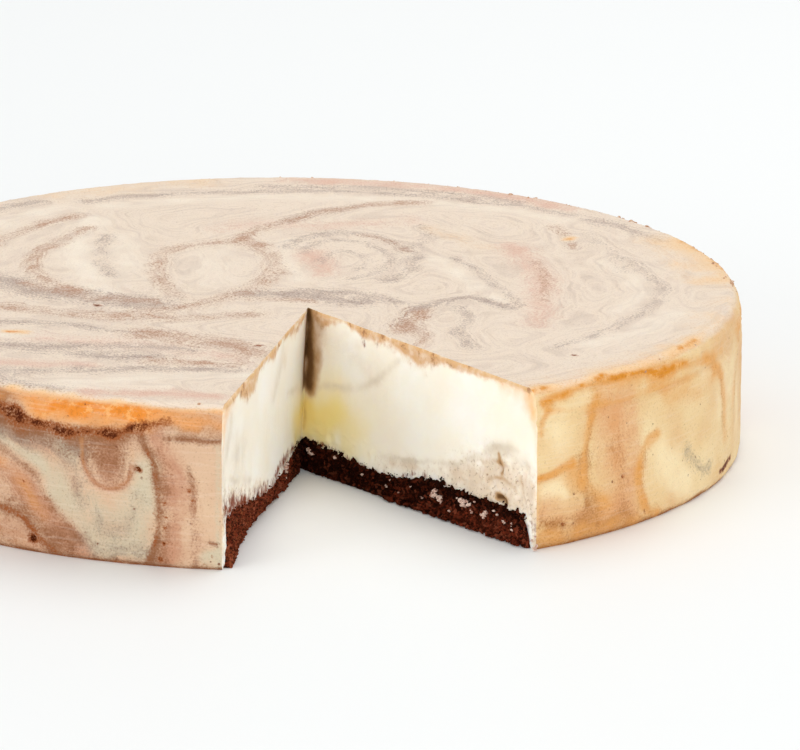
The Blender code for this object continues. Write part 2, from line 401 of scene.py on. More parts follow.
# Marbling on the top: tone, width and strength, then points to the right and to the back of the middle
TOP_STROKES = (
    # the ring left of the slice's tip, from its tail round to its inner end
    ("cocoa", 4.4, 0.50, (
        (-41, -29), (-30, -24), (-20, -17), (-11, -9), (-4, 3), (-1.5, 17), (-2, 29), (-6, 40),
    )),
    ("cocoa", 3.4, 0.50, (
        (-6, 40), (-12, 44), (-20, 41), (-27, 35), (-30, 24), (-30, 10), (-27, -3), (-25, -9),
    )),
    ("cream", 9.0, 0.45, ((-17, 32), (-16, 18), (-16, 3))),
    # the long streak that comes down to the ring from the back
    ("cocoa", 2.8, 0.75, ((37, 84), (27, 82), (16, 77), (8, 71), (2, 65), (-5, 55), (-9, 46))),
    ("ash", 3.2, 0.60, ((20, 79), (10, 73), (2, 66))),
    ("blush", 7.0, 0.45, ((-14, 58), (-6, 62), (6, 60), (20, 62), (32, 66))),
    # the arc at the left and the dark patch that it ends in
    ("cocoa", 2.8, 0.65, ((-48, 58), (-54, 46), (-60, 34), (-61.5, 20), (-58, 8), (-50, -4))),
    ("ash", 8.0, 0.80, ((-70, 6), (-60, -4), (-48, -10), (-36, -15), (-30, -18))),
    ("cocoa", 4.0, 0.50, ((-62, 2), (-50, -8), (-40, -13), (-31, -15))),
    ("cream", 5.5, 0.80, ((-46, 66), (-50, 50), (-51, 34), (-50, 18), (-46, 4), (-42, -6))),
    ("cream", 6.0, 0.55, ((-39, 50), (-38, 28), (-36, 8))),
    ("ash", 3.0, 0.40, ((-44, 50), (-44.5, 30), (-42, 10))),
    # the second swirl behind the tip
    ("ash", 2.6, 0.65, ((2, 38), (7, 49), (15, 53), (24, 49), (30, 41), (34, 30), (33, 18), (27, 6))),
    ("ash", 2.0, 0.45, ((6, 33), (10, 43), (17, 45), (24, 38), (28, 27), (25, 14), (18, 7))),
    ("ash", 1.8, 0.40, ((10, 22), (13, 33), (18, 34), (22, 26), (19, 15))),
    ("blush", 5.5, 0.75, ((8, 33), (10, 22), (11, 12))),
    ("cream", 4.0, 0.65, ((3, 45), (1.5, 32), (3, 18), (6, 6))),
    ("cocoa", 2.6, 0.45, ((22, 50), (29, 43), (33, 34))),
    # the grey patch at the slice's tip
    ("ash", 5.0, 0.85, ((-8, -8), (2, -8), (10, -11), (19, -16))),
    ("ash", 3.0, 0.60, ((4, -5), (14, -6), (24, -10), (30, -16))),
    ("cocoa", 2.6, 0.45, ((-6, -14), (2, -13), (8, -16))),
    # the zigzag right of the slice
    ("cocoa", 4.2, 0.80, ((29, -42), (31, -33), (34, -25))),
    ("ash", 2.4, 0.80, ((29, -37), (31, -27), (35, -20), (41, -14.5), (47, -12), (52, -16), (57, -21))),
    ("cocoa", 3.0, 0.50, ((32, -40), (35, -48), (33, -57))),
    ("ash", 2.6, 0.55, ((44, -20), (46, -32), (43, -44), (46, -58))),
    ("cream", 4.2, 0.65, ((38, 27), (44, 12), (50, -3), (53, -12))),
    ("ash", 2.0, 0.50, ((44, 28), (50, 12), (54, -3), (59, -18))),
    ("ash", 2.4, 0.45, ((36, 60), (38, 48), (34, 38))),
    # the pink streak and the grey curve at the right
    ("blush", 6.0, 0.70, ((58, 40), (63, 20), (65, 0), (64, -18), (62, -36))),
    ("cocoa", 2.4, 0.40, ((64, 24), (66, 6), (65, -14))),
    ("ash", 2.6, 0.42, ((86, 26), (92, 11), (94, -2), (92, -16), (86, -30), (77, -44), (66, -58))),
    ("ash", 4.5, 0.22, ((78, 52), (84, 34), (86, 14))),
    ("cream", 4.0, 0.55, ((80, 24), (87, 8), (88, -8), (82, -24))),
    ("cocoa", 2.2, 0.45, ((70, 60), (73, 48), (74, 36))),
    # bands along the back rim
    ("ash", 3.0, 0.60, (
        (-50, 85), (-30, 92), (-6, 96), (16, 95), (36, 92), (54, 85), (70, 75), (84, 62), (96, 46),
    )),
    ("blush", 6.0, 0.75, ((4, 108), (24, 105), (44, 99), (60, 90), (74, 79))),
    ("ash", 2.4, 0.55, ((-4, 101), (22, 100), (44, 94), (62, 85))),
    ("cream", 5.0, 0.60, ((-44, 80), (-20, 87), (6, 90), (32, 86), (56, 77), (72, 66))),
    ("toast", 13.0, 0.30, ((-58, 92), (-40, 100), (-20, 107))),
    ("toast", 8.0, 0.26, ((39, 57), (46, 47), (52, 36))),
    # streaks from side to side in front of the ring
    ("cocoa", 5.0, 0.45, ((-66, -20), (-46, -28), (-26, -31), (-6, -27))),
    ("ash", 2.6, 0.65, ((-72, -34), (-54, -36), (-40, -42), (-30, -46))),
    ("blush", 9.0, 0.45, ((-56, -50), (-40, -54), (-24, -60), (-12, -66))),
    ("ash", 9.0, 0.24, ((-66, -56), (-48, -62), (-30, -66))),
    ("cocoa", 6.5, 0.70, ((-33, -45), (-22, -50), (-12, -55), (-7, -62))),
    ("cream", 3.2, 0.60, ((-70, -46), (-46, -50), (-30, -53))),
    ("ash", 3.6, 0.65, ((-76, -54), (-52, -57), (-36, -57), (-20, -60))),
    ("ash", 2.6, 0.85, ((-47, -64), (-38, -66), (-29, -67))),
    ("blush", 4.6, 0.70, ((-74, -70), (-56, -73), (-44, -74))),
    ("cocoa", 3.6, 0.65, ((-31, -70), (-22, -71), (-10, -73))),
    ("ash", 3.8, 0.60, ((-70, -79), (-44, -78), (-28, -77), (-10, -78))),
    ("cream", 5.0, 0.70, ((-50, -89), (-30, -85), (-16, -83), (-6, -82))),
    ("cream", 3.0, 0.60, ((-62, -92), (-44, -94), (-26, -94))),
    ("blush", 5.0, 0.80, ((-44, -98), (-28, -99), (-16, -102))),
    ("ash", 4.5, 0.50, ((-80, -72), (-66, -86), (-52, -96))),
    # peach towards the right rim
    ("toast", 13.0, 0.30, ((62, -92), (78, -79), (93, -62), (103, -42), (110, -18))),
    ("toast", 3.6, 0.85, ((-76, -83), (-64, -93), (-56, -98), (-45.6, -103), (-34.6, -107.4))),
    ("toast", 2.2, 0.60, ((-34, -108), (-24, -110.4), (-14, -112.4))),
    ("toast", 3.4, 0.74, ((58, -97), (70, -89), (80, -80), (91, -67), (101, -51))),
    ("blush", 4.0, 0.50, ((56, -95), (68, -88), (79, -78), (90, -65))),
    ("toast", 8.0, 0.42, ((103, 46), (109, 26), (112, 4))),
    ("toast", 2.6, 0.55, ((103, 44), (108, 31), (111, 18))),
    ("toast", 10.0, 0.30, ((94, 46), (101, 26), (104, 6))),
    ("cocoa", 1.8, 0.60, ((102, 46), (107, 35), (110, 24))),
    ("cream", 7.0, 0.55, ((74, -54), (86, -44), (97, -26))),
    # the far left, which carries on the streaks next to it
    ("ash", 3.4, 0.60, ((-62, 84), (-78, 70), (-90, 50), (-95, 28), (-92, 8))),
    ("cream", 5.0, 0.70, ((-56, 78), (-70, 64), (-81, 46), (-86, 26), (-84, 8))),
    ("cocoa", 3.0, 0.60, ((-52, 70), (-64, 56), (-72, 40), (-76, 22), (-73, 6))),
    ("blush", 5.0, 0.55, ((-74, 80), (-90, 62), (-101, 36), (-104, 12))),
    ("cocoa", 3.6, 0.55, ((-104, -4), (-94, -12), (-80, -16), (-66, -20))),
    ("ash", 3.4, 0.60, ((-106, -22), (-92, -28), (-78, -32))),
    ("cream", 4.0, 0.70, ((-102, -34), (-88, -42), (-74, -45))),
    ("ash", 3.0, 0.55, ((-98, -46), (-86, -54), (-76, -55))),
    ("cocoa", 3.0, 0.45, ((-94, -56), (-84, -63), (-72, -66))),
    ("blush", 4.0, 0.50, ((-88, -66), (-80, -72), (-72, -76))),
    # small burnt spots
    ("toast", 2.2, 0.95, ((73, 46), (74, 48))),
    ("toast", 2.4, 0.95, ((-65, -43), (-62, -44))),
    ("char", 1.5, 0.75, ((-44, -19),)),
    ("char", 1.2, 0.90, ((70, -65),)),
    ("char", 1.3, 0.85, ((-5, -56),)),
)

# Marbling on the wall: tone, width in millimetres and strength, then points as degrees round and height
WALL_STROKES = (
    # browned band and its ragged lower edge at the left front
    ("toast", 4.8, 1.00, ((239.6, 36.4), (243, 36.2), (246, 36), (251, 36.4), (253.5, 37))),
    ("toast", 3.4, 0.30, ((222, 37), (230, 36.8), (238, 36.4))),
    ("cocoa", 4.8, 0.85, ((222, 37), (229, 36.8), (235.4, 36.4))),
    ("ash", 3.4, 0.60, ((222, 38), (228, 38), (234, 38))),
    ("toast", 3.6, 0.50, ((253, 36.5), (258, 35.6), (263, 35.2))),
    ("cocoa", 3.8, 0.62, ((254, 35), (259, 34.6), (263, 34.2))),
    ("toast", 1.0, 1.00, ((255, 38.0), (259, 38.3), (263.2, 38.4))),
    ("cocoa", 3.0, 0.30, ((239, 37.6), (243, 37.2), (247, 36.8))),
    ("cocoa", 0.9, 0.60, ((255, 37.6), (259, 38.1), (263.2, 38.2))),
    ("cocoa", 1.5, 0.55, ((251, 37.5), (254, 36.6), (257.4, 37.8))),
    ("cocoa", 2.2, 0.45, ((222, 38.4), (230, 38), (237, 37.6))),
    # a painted highlight, pale yellow, along the lower edge of the browned band
    ("cream", 1.7, 0.75, ((238, 35), (242, 34.0), (246, 33.4), (251, 34.4))),
    ("char", 1.9, 0.70, ((222, 33), (229, 34.6), (235.2, 33.8), (237.6, 32.4))),
    ("char", 2.2, 0.66, ((236.6, 33.2), (239, 31.8), (241.4, 31.4), (243.6, 30.6))),
    ("char", 1.6, 0.56, ((243, 30.9), (245.2, 30.6), (247, 31.4), (249.6, 31.4))),
    ("char", 2.0, 0.70, ((249.6, 31.6), (251.6, 32.4), (253.2, 33.2))),
    ("char", 1.4, 0.52, ((252.8, 33), (255, 34.2), (257, 35.2))),
    ("cocoa", 3.0, 0.90, ((228, 33.4), (236, 32.0), (241, 30.4), (247, 30.0), (252, 32.0))),
    ("cocoa", 0.8, 0.85, ((256.5, 31.2), (260, 31.3), (263, 31.2))),
    # the brown dome and its outline
    ("cocoa", 4.2, 0.42, ((247.9, 33), (247.8, 28), (248.0, 24.6))),
    ("cocoa", 5.2, 0.46, ((249.6, 33), (249.6, 27), (249.8, 22.6))),
    ("cocoa", 4.2, 0.42, ((251.4, 33), (251.4, 28), (251.2, 24.6))),
    ("blush", 5.6, 0.80, ((249.6, 30), (249.6, 22.6))),
    ("toast", 1.0, 0.22, (
        (246.4, 29), (246.3, 24), (247.4, 20), (249.6, 18.2), (251.8, 20), (252.7, 24), (252.6, 28),
    )),
    ("blush", 1.0, 0.90, (
        (246.4, 29), (246.4, 23.6), (247.5, 19.8), (249.6, 18), (251.8, 19.8), (252.7, 24),
    )),
    ("cocoa", 0.7, 0.40, (
        (246.4, 26), (246.4, 23.6), (247.5, 19.8), (249.6, 18), (251.8, 19.8), (252.7, 24),
    )),
    # the pale cup round the dome, and the dark line at its right
    ("cream", 4.6, 0.85, (
        (243.8, 29), (243.6, 22), (245.0, 13), (248.5, 5.6), (252, 5.6), (254, 13), (254.2, 24),
    )),
    ("cream", 4.6, 0.70, ((246.5, 15), (249.6, 11), (252.6, 15))),
    ("ash", 3.4, 0.40, ((245.8, 18), (247.0, 12), (249.6, 8.6), (252.2, 10), (253.4, 16))),
    ("ash", 2.4, 0.34, ((241.6, 27), (244.4, 22), (246.0, 15))),
    ("ash", 4.0, 0.50, ((246, 5), (250, 2.4), (254, 3.6))),
    ("cocoa", 1.3, 0.95, ((253.6, 31), (255.0, 25), (255.8, 16.5), (255.6, 8), (254.2, 0.5))),
    ("char", 0.7, 0.34, ((254.4, 28), (255.5, 21), (255.9, 14), (255.1, 5))),
    ("blush", 4.4, 0.90, ((255.6, 31), (257.0, 24), (257.6, 12), (256.6, 1))),
    ("cocoa", 2.6, 0.45, ((255.6, 28), (256.6, 20), (256.8, 10), (255.8, 1))),
    ("cocoa", 1.6, 0.40, ((259.4, 24), (260.2, 14), (260.2, 1))),
    ("blush", 2.4, 0.45, ((259.6, 20), (260.4, 10), (260.2, 1))),
    ("cream", 1.0, 0.60, ((262.9, 30), (262.9, 14), (262.8, 2))),
    ("cream", 2.8, 0.80, ((261.4, 3.4), (262.8, 3.0), (262.8, 0))),
    ("cocoa", 0.8, 0.70, ((261.8, 6.8), (262.6, 6.4))),
    ("char", 0.5, 0.60, ((262.2, 3.4),)),
    ("char", 0.6, 0.55, ((261.4, 1.4),)),
    # the slanting orange and pink band at the far left
    ("blush", 5.8, 1.00, ((224, 24), (231, 21.5), (236, 18), (240, 13), (243, 7.5), (245.6, 2.4))),
    ("toast", 4.4, 0.26, ((226, 23.5), (232, 21.5), (236.5, 19.0), (239.0, 14.6), (241, 10))),
    ("toast", 2.0, 0.20, ((228, 23.5), (232, 22.5), (235.5, 21.0))),
    ("cocoa", 5.0, 0.34, ((234, 20), (239, 15), (242, 9), (244, 3))),
    ("cocoa", 1.5, 0.50, ((235, 24.6), (239.8, 19.4), (242.4, 12.2), (246, 4.2))),
    ("cocoa", 3.6, 0.60, ((236.6, 11), (240.4, 7), (244.4, 1))),
    ("cocoa", 1.7, 0.85, ((230, 12), (235.2, 9.8), (238.5, 7.2), (241, 3.6), (243, 0.6))),
    ("char", 1.3, 0.42, ((230, 12), (235.2, 9.8), (238.5, 7.2), (241, 3.6), (243, 0.6))),
    ("toast", 6.0, 0.20, ((226, 5), (234, 4.4), (238, 2.6))),
    ("cocoa", 6.0, 0.44, ((222, 5), (231, 4.4), (236, 2.6))),
    ("blush", 5.0, 0.55, ((226, 6), (234, 5), (239, 3), (243, 1))),
    ("ash", 4.4, 0.75, ((226, 30), (235, 29.4), (239, 28.6), (243, 27.6), (246, 27))),
    ("cocoa", 2.4, 0.35, ((235, 31), (240, 28.4), (244, 25.6))),
    ("blush", 2.2, 0.60, ((237, 28), (241, 26), (244, 22), (245.4, 17))),
    ("cream", 2.4, 0.75, (
        (228, 28), (235, 26.6), (239, 24.4), (241.8, 19.4), (243.6, 12), (246.6, 5), (250, 2.6), (254, 3.2),
    )),
    # baked-open bubbles, their hollows painted dark in the burnt tone as painted shade
    ("char", 1.5, 0.95, ((239.4, 3.4),)),
    ("char", 0.9, 0.80, ((253.2, 23.4), (253.5, 23.2))),
    ("char", 0.6, 0.75, ((256.6, 15.6),)),
    ("char", 0.7, 0.80, ((256.6, 12.2),)),
    ("char", 0.7, 0.80, ((256.5, 9.6),)),
    ("char", 0.6, 0.75, ((256.4, 6.0),)),
    ("char", 0.8, 0.75, ((255.9, 2.2),)),
    ("char", 0.6, 0.60, ((259.4, 19.0),)),
    ("char", 0.6, 0.60, ((257.4, 22.6),)),
    ("char", 0.5, 0.60, ((255.2, 13.0),)),
    ("char", 0.5, 0.60, ((254.8, 9.0),)),
    ("char", 0.5, 0.55, ((247.2, 28.0),)),
    ("char", 0.5, 0.55, ((239.6, 27.4),)),
    ("char", 0.5, 0.55, ((238.4, 17.0),)),
    ("char", 0.6, 0.55, ((260.0, 16.4),)),
    ("char", 0.5, 0.50, ((260.2, 7.2),)),
    ("char", 0.5, 0.50, ((244.6, 9.0),)),
    # a dark line painted at the foot as contact shadow, where the cake stands
    ("cocoa", 1.2, 1.00, ((222, 0), (240, 0), (263, 0))),
    ("char", 0.5, 0.40, ((222, 0), (240, 0), (263, 0))),
    ("cocoa", 1.2, 1.00, ((302.4, 0), (320, 0), (342, 0))),
    ("char", 0.5, 0.35, ((302.4, 0), (320, 0), (338, 0))),
    # orange line along the rim right of the slice
    ("toast", 1.2, 0.90, ((303, 35.6), (305.5, 36.4), (309, 37.4), (313.5, 37.8), (317, 37.4))),
    ("toast", 0.9, 0.90, ((316, 37.6), (319, 37.0), (322, 36.2), (325, 35.6), (329, 35.2))),
    ("toast", 3.0, 0.34, ((303, 35.6), (310, 37), (320, 36.4), (330, 35), (340, 33.6))),
    ("cream", 1.6, 0.50, ((303, 33.4), (306, 33.8), (310, 34.8))),
    ("toast", 1.8, 0.40, ((322, 35.8), (329, 34.6), (337, 32.4))),
    ("cocoa", 0.7, 0.66, ((308, 37.0), (311, 37.4), (314, 37.6), (317, 37.2), (320, 36.6))),
    ("toast", 1.6, 0.50, ((303.6, 34), (303, 31), (302.6, 28))),
    ("toast", 1.4, 0.30, ((304, 33.4), (312, 32.4), (322, 32.2), (332, 31))),
    # brown line and patches
    ("toast", 2.2, 0.42, ((311.6, 36), (310.2, 30), (309.4, 22), (309.2, 13))),
    ("cocoa", 0.8, 0.80, ((311.4, 34.4), (310.2, 29), (309.5, 22), (309.4, 14), (309.6, 8))),
    ("cocoa", 3.6, 0.72, ((309.2, 19), (309.0, 14), (310.6, 9))),
    ("toast", 4.6, 0.46, ((307.0, 17), (309.4, 13), (312.2, 9))),
    ("toast", 1.6, 0.80, ((302.4, 17.4), (304.5, 18.4), (307.2, 19.6))),
    ("cocoa", 1.1, 0.75, ((302.4, 17.2), (304.5, 18.2), (306.6, 19.2))),
    ("cream", 2.6, 0.80, ((303.4, 13.6), (305.4, 14), (306.4, 12.4))),
    ("cream", 1.6, 0.60, ((310.4, 6.2), (312.6, 6.8))),
    ("blush", 8.0, 0.80, ((312.8, 35), (314.2, 24), (315, 12), (314, 3))),
    ("toast", 6.0, 0.22, ((312.5, 33), (314, 24), (315, 12))),
    ("blush", 5.0, 0.55, ((316.5, 32), (317.6, 24), (317.6, 12), (316.6, 4))),
    ("cocoa", 4.0, 0.30, ((314, 22), (315.4, 14), (315.6, 6))),
    ("blush", 5.0, 0.60, ((303, 9), (307, 6), (312, 4), (317, 3))),
    ("cocoa", 3.4, 0.60, ((303.4, 6), (308, 4.4), (313, 3), (317, 1.6))),
    ("cocoa", 3.0, 0.60, ((302.6, 1.4), (308, 1.2), (315, 0.8), (322, 0.4))),
    ("toast", 4.0, 0.40, ((303, 2.6), (310, 2.2), (318, 1.0))),
    ("cream", 4.0, 0.50, ((304.4, 29), (305.4, 24), (304.6, 13))),
    ("toast", 6.0, 0.28, ((320, 34), (325, 30), (330, 27), (335, 26))),
    # pale patch with its brown edge
    ("cream", 7.0, 0.95, ((323.4, 14), (326, 10), (329, 6))),
    ("toast", 2.6, 0.50, ((322.4, 20.6), (319.2, 18), (318.6, 11), (319.6, 5), (322.6, 1))),
    ("cocoa", 1.7, 0.48, ((319.6, 18), (318.8, 11), (319.8, 5), (321.4, 2))),
    ("ash", 2.4, 0.62, ((328.8, 14.2), (330.4, 11), (332, 8.4), (335.5, 6))),
    ("cream", 9.0, 0.50, ((333, 32), (340, 27), (347, 18), (350, 8))),
    ("cream", 5.0, 0.35, ((303.6, 30), (306, 27))),
    # orange oval
    ("toast", 4.4, 0.40, ((337, 30), (339.8, 26), (341, 20), (341.4, 12))),
    ("cocoa", 1.8, 0.38, ((336.4, 31), (338.6, 28), (340, 22), (340.4, 14))),
    ("char", 0.9, 0.95, ((339.4, 3.0), (342, 3.4), (344.8, 4.0))),
    # dark bubble holes, painted in the burnt tone as shade in their hollows
    ("char", 0.7, 0.60, ((315.8, 13.2),)),
    ("char", 0.7, 0.50, ((306, 5.0),)),
    ("char", 0.6, 0.50, ((319.8, 3.0),)),
)

# The glow tone is painted light bounced into the corner at the slice's tip; the shade tone is cocoa batter
# there darkened as painted shade, with brown marks elsewhere
CUT_TONES = ("skin", "ash", "shade", "painted_glow", "toast", "mottle", "smear")

# Marks on the cut faces: tone, width and strength, then points out from the slice's tip and upwards
RIGHT_CUT_STROKES = (
    ("skin", 1.4, 1.00, ((0, 39), (22, 38.8), (50, 38.6), (80, 38.8), (93, 38.8))),
    ("skin", 2.6, 1.00, ((37, 38), (42, 36.6), (47, 36.2), (52, 37.6))),
    ("skin", 1.6, 0.75, ((19, 38.4), (24, 37.4), (31, 37.6))),
    ("smear", 0.8, 0.55, ((22.4, 37), (23.4, 35))),
    ("smear", 0.8, 0.50, ((28.6, 37), (29.2, 34.6))),
    ("smear", 1.0, 0.45, ((49, 36.6), (50.4, 35.4))),
    ("skin", 1.5, 0.80, ((2, 38), (6, 37), (11, 37.6))),
    ("skin", 1.1, 0.70, ((60, 38), (64, 37.4), (69, 37.8))),
    # the dark wedge at the slice's tip: cocoa batter in the cut, darkened as painted shade of the narrow
    # crevice
    ("shade", 3.4, 1.00, ((0.4, 38), (1.8, 31), (2.4, 25), (2.4, 21.4))),
    ("shade", 4.0, 0.34, ((4.6, 38), (5.4, 31), (4.8, 25))),
    ("shade", 3.0, 0.10, ((8.0, 38), (9.0, 33))),
    ("ash", 1.6, 0.48, ((1, 19.9), (10, 22), (20, 23.8), (28, 27), (33, 30.5), (37, 34))),
    ("ash", 6.0, 0.30, ((12, 36), (20, 32), (28, 30))),
    # painted glow: yellow light bounced into the corner at the slice's tip
    ("painted_glow", 10.0, 1.00, ((-2, 14), (6, 13.6), (12, 13))),
    # painted shade along the corner where the two cuts meet
    ("shade", 1.6, 0.30, ((0.2, 20), (0.3, 10))),
    ("painted_glow", 14.0, 0.40, ((12, 15), (22, 13))),
    ("ash", 1.2, 0.55, ((31, 9.7), (42, 11), (54, 13), (62, 15), (70, 19), (76, 22), (84, 23))),
    ("ash", 3.5, 0.50, ((74, 20), (80, 22), (88, 20))),
    ("mottle", 5.5, 1.00, ((60, 11), (68, 13), (76, 15.5), (86, 15))),
    ("mottle", 4.0, 0.95, ((66, 8), (76, 9), (87, 9))),
    ("mottle", 2.2, 0.50, ((30, 8), (42, 9.6), (54, 11))),
    ("smear", 0.9, 0.45, (
        (0, 7.0), (12, 7.2), (24, 5.4), (34, 5.0), (46, 8.6), (60, 7.6), (76, 7.2), (86, 5.6),
    )),
    # the dark pit of an opened bubble, laid in the shade tone as painted shade in its hollow, then brown
    # streaks beside it
    ("shade", 1.5, 1.00, ((75.8, 9.8), (78.4, 9.4))),
    ("shade", 1.2, 0.34, ((72, 13.4), (77, 14.6), (83, 13.2))),
    ("shade", 1.1, 0.30, ((70, 16.8), (75, 18.6), (80, 18.0))),
    ("shade", 0.9, 0.50, ((76.6, 20.4), (77.4, 16.0))),
    ("shade", 0.9, 0.36, ((84.6, 17.0), (86.0, 11.0))),
    ("toast", 6.0, 0.60, ((80, 39.5), (87, 38.5), (92, 36))),
    ("toast", 2.2, 0.40, ((91, 34), (91.5, 20), (91, 6))),
    ("mottle", 2.6, 0.90, ((88.5, 14), (90, 6), (90, 0))),
    ("smear", 1.2, 0.50, ((88.6, 5.6), (89.8, 3.4), (90.2, 0.6))),
)

LEFT_CUT_STROKES = (
    ("skin", 1.5, 1.00, ((0, 39), (30, 38.8), (60, 38.6), (93, 38.8))),
    ("skin", 2.4, 0.90, ((56, 38), (61, 36.2), (66, 35.8), (72, 37.6))),
    ("skin", 1.8, 0.85, ((9, 38), (13, 36.6), (18, 37.6))),
    ("skin", 1.6, 0.80, ((34, 38), (37, 37), (42, 38))),
    # the dark wedge at the slice's tip: cocoa batter in the cut, darkened as painted shade of the narrow
    # crevice
    ("shade", 2.2, 0.80, ((0.2, 38), (0.8, 31), (1.0, 25), (0.8, 21.0))),
    # painted glow: yellow light bounced into the corner at the slice's tip
    ("painted_glow", 10.0, 0.85, ((-3, 17), (3, 14), (5, 12))),
    ("ash", 5.0, 0.50, ((26, 34), (32, 30), (36, 27))),
    ("ash", 1.6, 0.35, ((1, 20), (10, 21.6), (20, 23.5))),
    ("smear", 1.9, 1.00, ((30, 4.2), (44, 5.2), (60, 7.8), (74, 10.8), (82, 12.4), (88, 12.6))),
    ("smear", 3.0, 0.22, ((60, 10.6), (74, 13.0), (82, 14.6), (88, 14.6))),
    ("smear", 1.6, 0.60, ((8, 7.6), (20, 7.6), (30, 6.6))),
    ("ash", 1.6, 0.45, ((58, 13), (68, 15.5), (75, 17.5), (82, 20))),
    ("ash", 8.0, 0.45, ((70, 22), (78, 26), (86, 31))),
    ("ash", 3.0, 0.35, ((84, 34), (88, 24), (89, 12))),
    ("mottle", 3.0, 0.55, ((50, 9), (64, 11), (78, 15), (88, 18))),
    ("smear", 1.6, 0.38, (
        (2, 7.0), (20, 7.4), (30, 6.2), (44, 7.2), (60, 9.6), (74, 12), (82, 14.4), (87, 14.6),
    )),
    ("toast", 5.0, 0.55, ((82, 39), (88, 38), (92, 36))),
    ("toast", 1.6, 0.35, ((91, 34), (91, 20), (91, 4))),
    ("mottle", 2.4, 0.90, ((90, 16), (90, 8), (90, 0))),
    ("toast", 1.6, 0.60, ((90.6, 12), (90.6, 6), (90.6, 0))),
)

# Bubbles opened by the knife: millimetres along the cut, height and radius
RIGHT_PITS = (
    (77, 17, 1.1), (83, 15, 0.9), (78, 12, 1.0), (77, 9.7, 1.4), (70, 12.4, 0.7),
    (86, 11, 0.8), (62, 10.6, 0.7),
)
LEFT_PITS = ((70, 14.2, 0.8), (76, 16.5, 0.7), (66, 11.6, 0.7), (18.5, 22.6, 0.8))

# Holes in the wall: degrees round, then height and radius in millimetres
WALL_PITS = (
    (253.2, 23.4, 1.0), (239.5, 3.4, 1.3), (315.8, 13.2, 0.8), (306, 5, 0.9),
    (311.5, 3, 0.7), (250.4, 1.2, 0.8),
)


def wall_spots(points):
    """Places on the wall as millimetres round and of height."""
    angle = np.degrees(np.arctan2(points[:, 1], points[:, 0])) % 360.0
    return np.stack((angle * ROUND_MM, points[:, 2] / MM), axis=1)


def around(strokes):
    """Wall strokes with their degrees turned into millimetres round."""
    rounded = []
    for tone, width, strength, line in strokes:
        rounded.append((tone, width, strength, [(at * ROUND_MM, up) for at, up in line]))
    return rounded


# How the seen marbling is laid round the unseen wall: which side and part of it, the degrees to which its
# zero moves, and which way it runs from there
UNSEEN_STRETCHES = (
    ("right", "all", 686, -1),
    ("left", "all", 162, 1),
    ("right", "all", 123, 1),
    ("left", "all", 244, 1),
    ("right", "all", 205, 1),
    ("right", "low", 524, -1),
    ("left", "band", 804, -1),
)

# The band's strokes start at this height in millimetres, the right side's at this many degrees round
BAND_FOOT = 30.0
FRONT_GAP = 280.0


def unseen_wall_strokes():
    """Repeats the seen marbling round the sides and the back, mirrored by turns and loosened."""
    rng = np.random.default_rng(5)
    strokes = []
    for side, part, offset, way in UNSEEN_STRETCHES:
        for tone, width, strength, line in WALL_STROKES:
            other_side = (line[0][0] > FRONT_GAP) != (side == "right")
            in_band = min(up for at, up in line) >= BAND_FOOT
            other_part = part != "all" and in_band != (part == "band")
            ragged_line = tone == "char" and len(line) > 1
            if other_side or other_part or (ragged_line and part != "band"):
                continue
            tone = "blush" if tone == "ash" else tone
            tone = "cocoa" if tone == "toast" and part == "low" else tone
            turn = offset + rng.uniform(-1.0, 1.0)
            held = max(up for at, up in line) > BAND_FOOT or line[0][1] == 0
            lift = 0.0 if held else rng.uniform(-2.0, 2.0)
            weight = strength * (1.0 if part == "band" else rng.uniform(0.5, 0.95))
            moved = [(turn + way * at, up + lift) for at, up in line]
            strokes.append((tone, width * rng.uniform(0.9, 1.3), weight, moved))
            strokes.append((tone, width, weight, [(at - 360.0, up) for at, up in moved]))
    return strokes


def give_attribute(piece, name, values):
    layer = piece.data.attributes.new(name, "FLOAT", "POINT")
    layer.data.foreach_set("value", np.ascontiguousarray(values, dtype=np.float32))


def pits(across, up, holes, depth, mouth):
    """How deep the bubbles are at places in millimetres, from each one's place and radius."""
    deep = np.zeros(len(up))
    for at, height, wide in holes:
        away = np.hypot(across - at, up - height)
        deep += depth * wide * smooth_step(1.0 - away / (wide * mouth))
    return deep


def cut_relief(points, holes, knife_wave):
    """How far a cut face stands out: knife waves, drag marks, crumbly places, browned skin and bubbles."""
    cut = cut_places(points)
    along, up = cut[:, 0], cut[:, 1]
    level = np.zeros(len(up))
    dragged = np.stack((along * 0.55, up * 0.12, level), axis=1)
    knife = knife_wave * lumps(points, KNIFE_WAVE_SIZE, 6.0) + DRAG_DEPTH * lumps(dragged, 1.0, 2.0, 2)
    crumbly = smooth_step(up, 16.0, 8.0)
    crumbly += smooth_step(along, 56.0, 70.0) * smooth_step(up, 24.0, 19.0)
    knife += crumbly * relief(points, CRUMBLY_RELIEF)
    skin_foot = SKIN_FOOT + SKIN_WANDER * lumps(np.stack((along, level, level), axis=1), 3.0, 0.0, 2)
    knife += SKIN_DEPTH * smooth_step(up, skin_foot, skin_foot + 0.4)
    return knife - pits(along, up, holes, CUT_PIT_DEPTH, CUT_PIT_MOUTH)


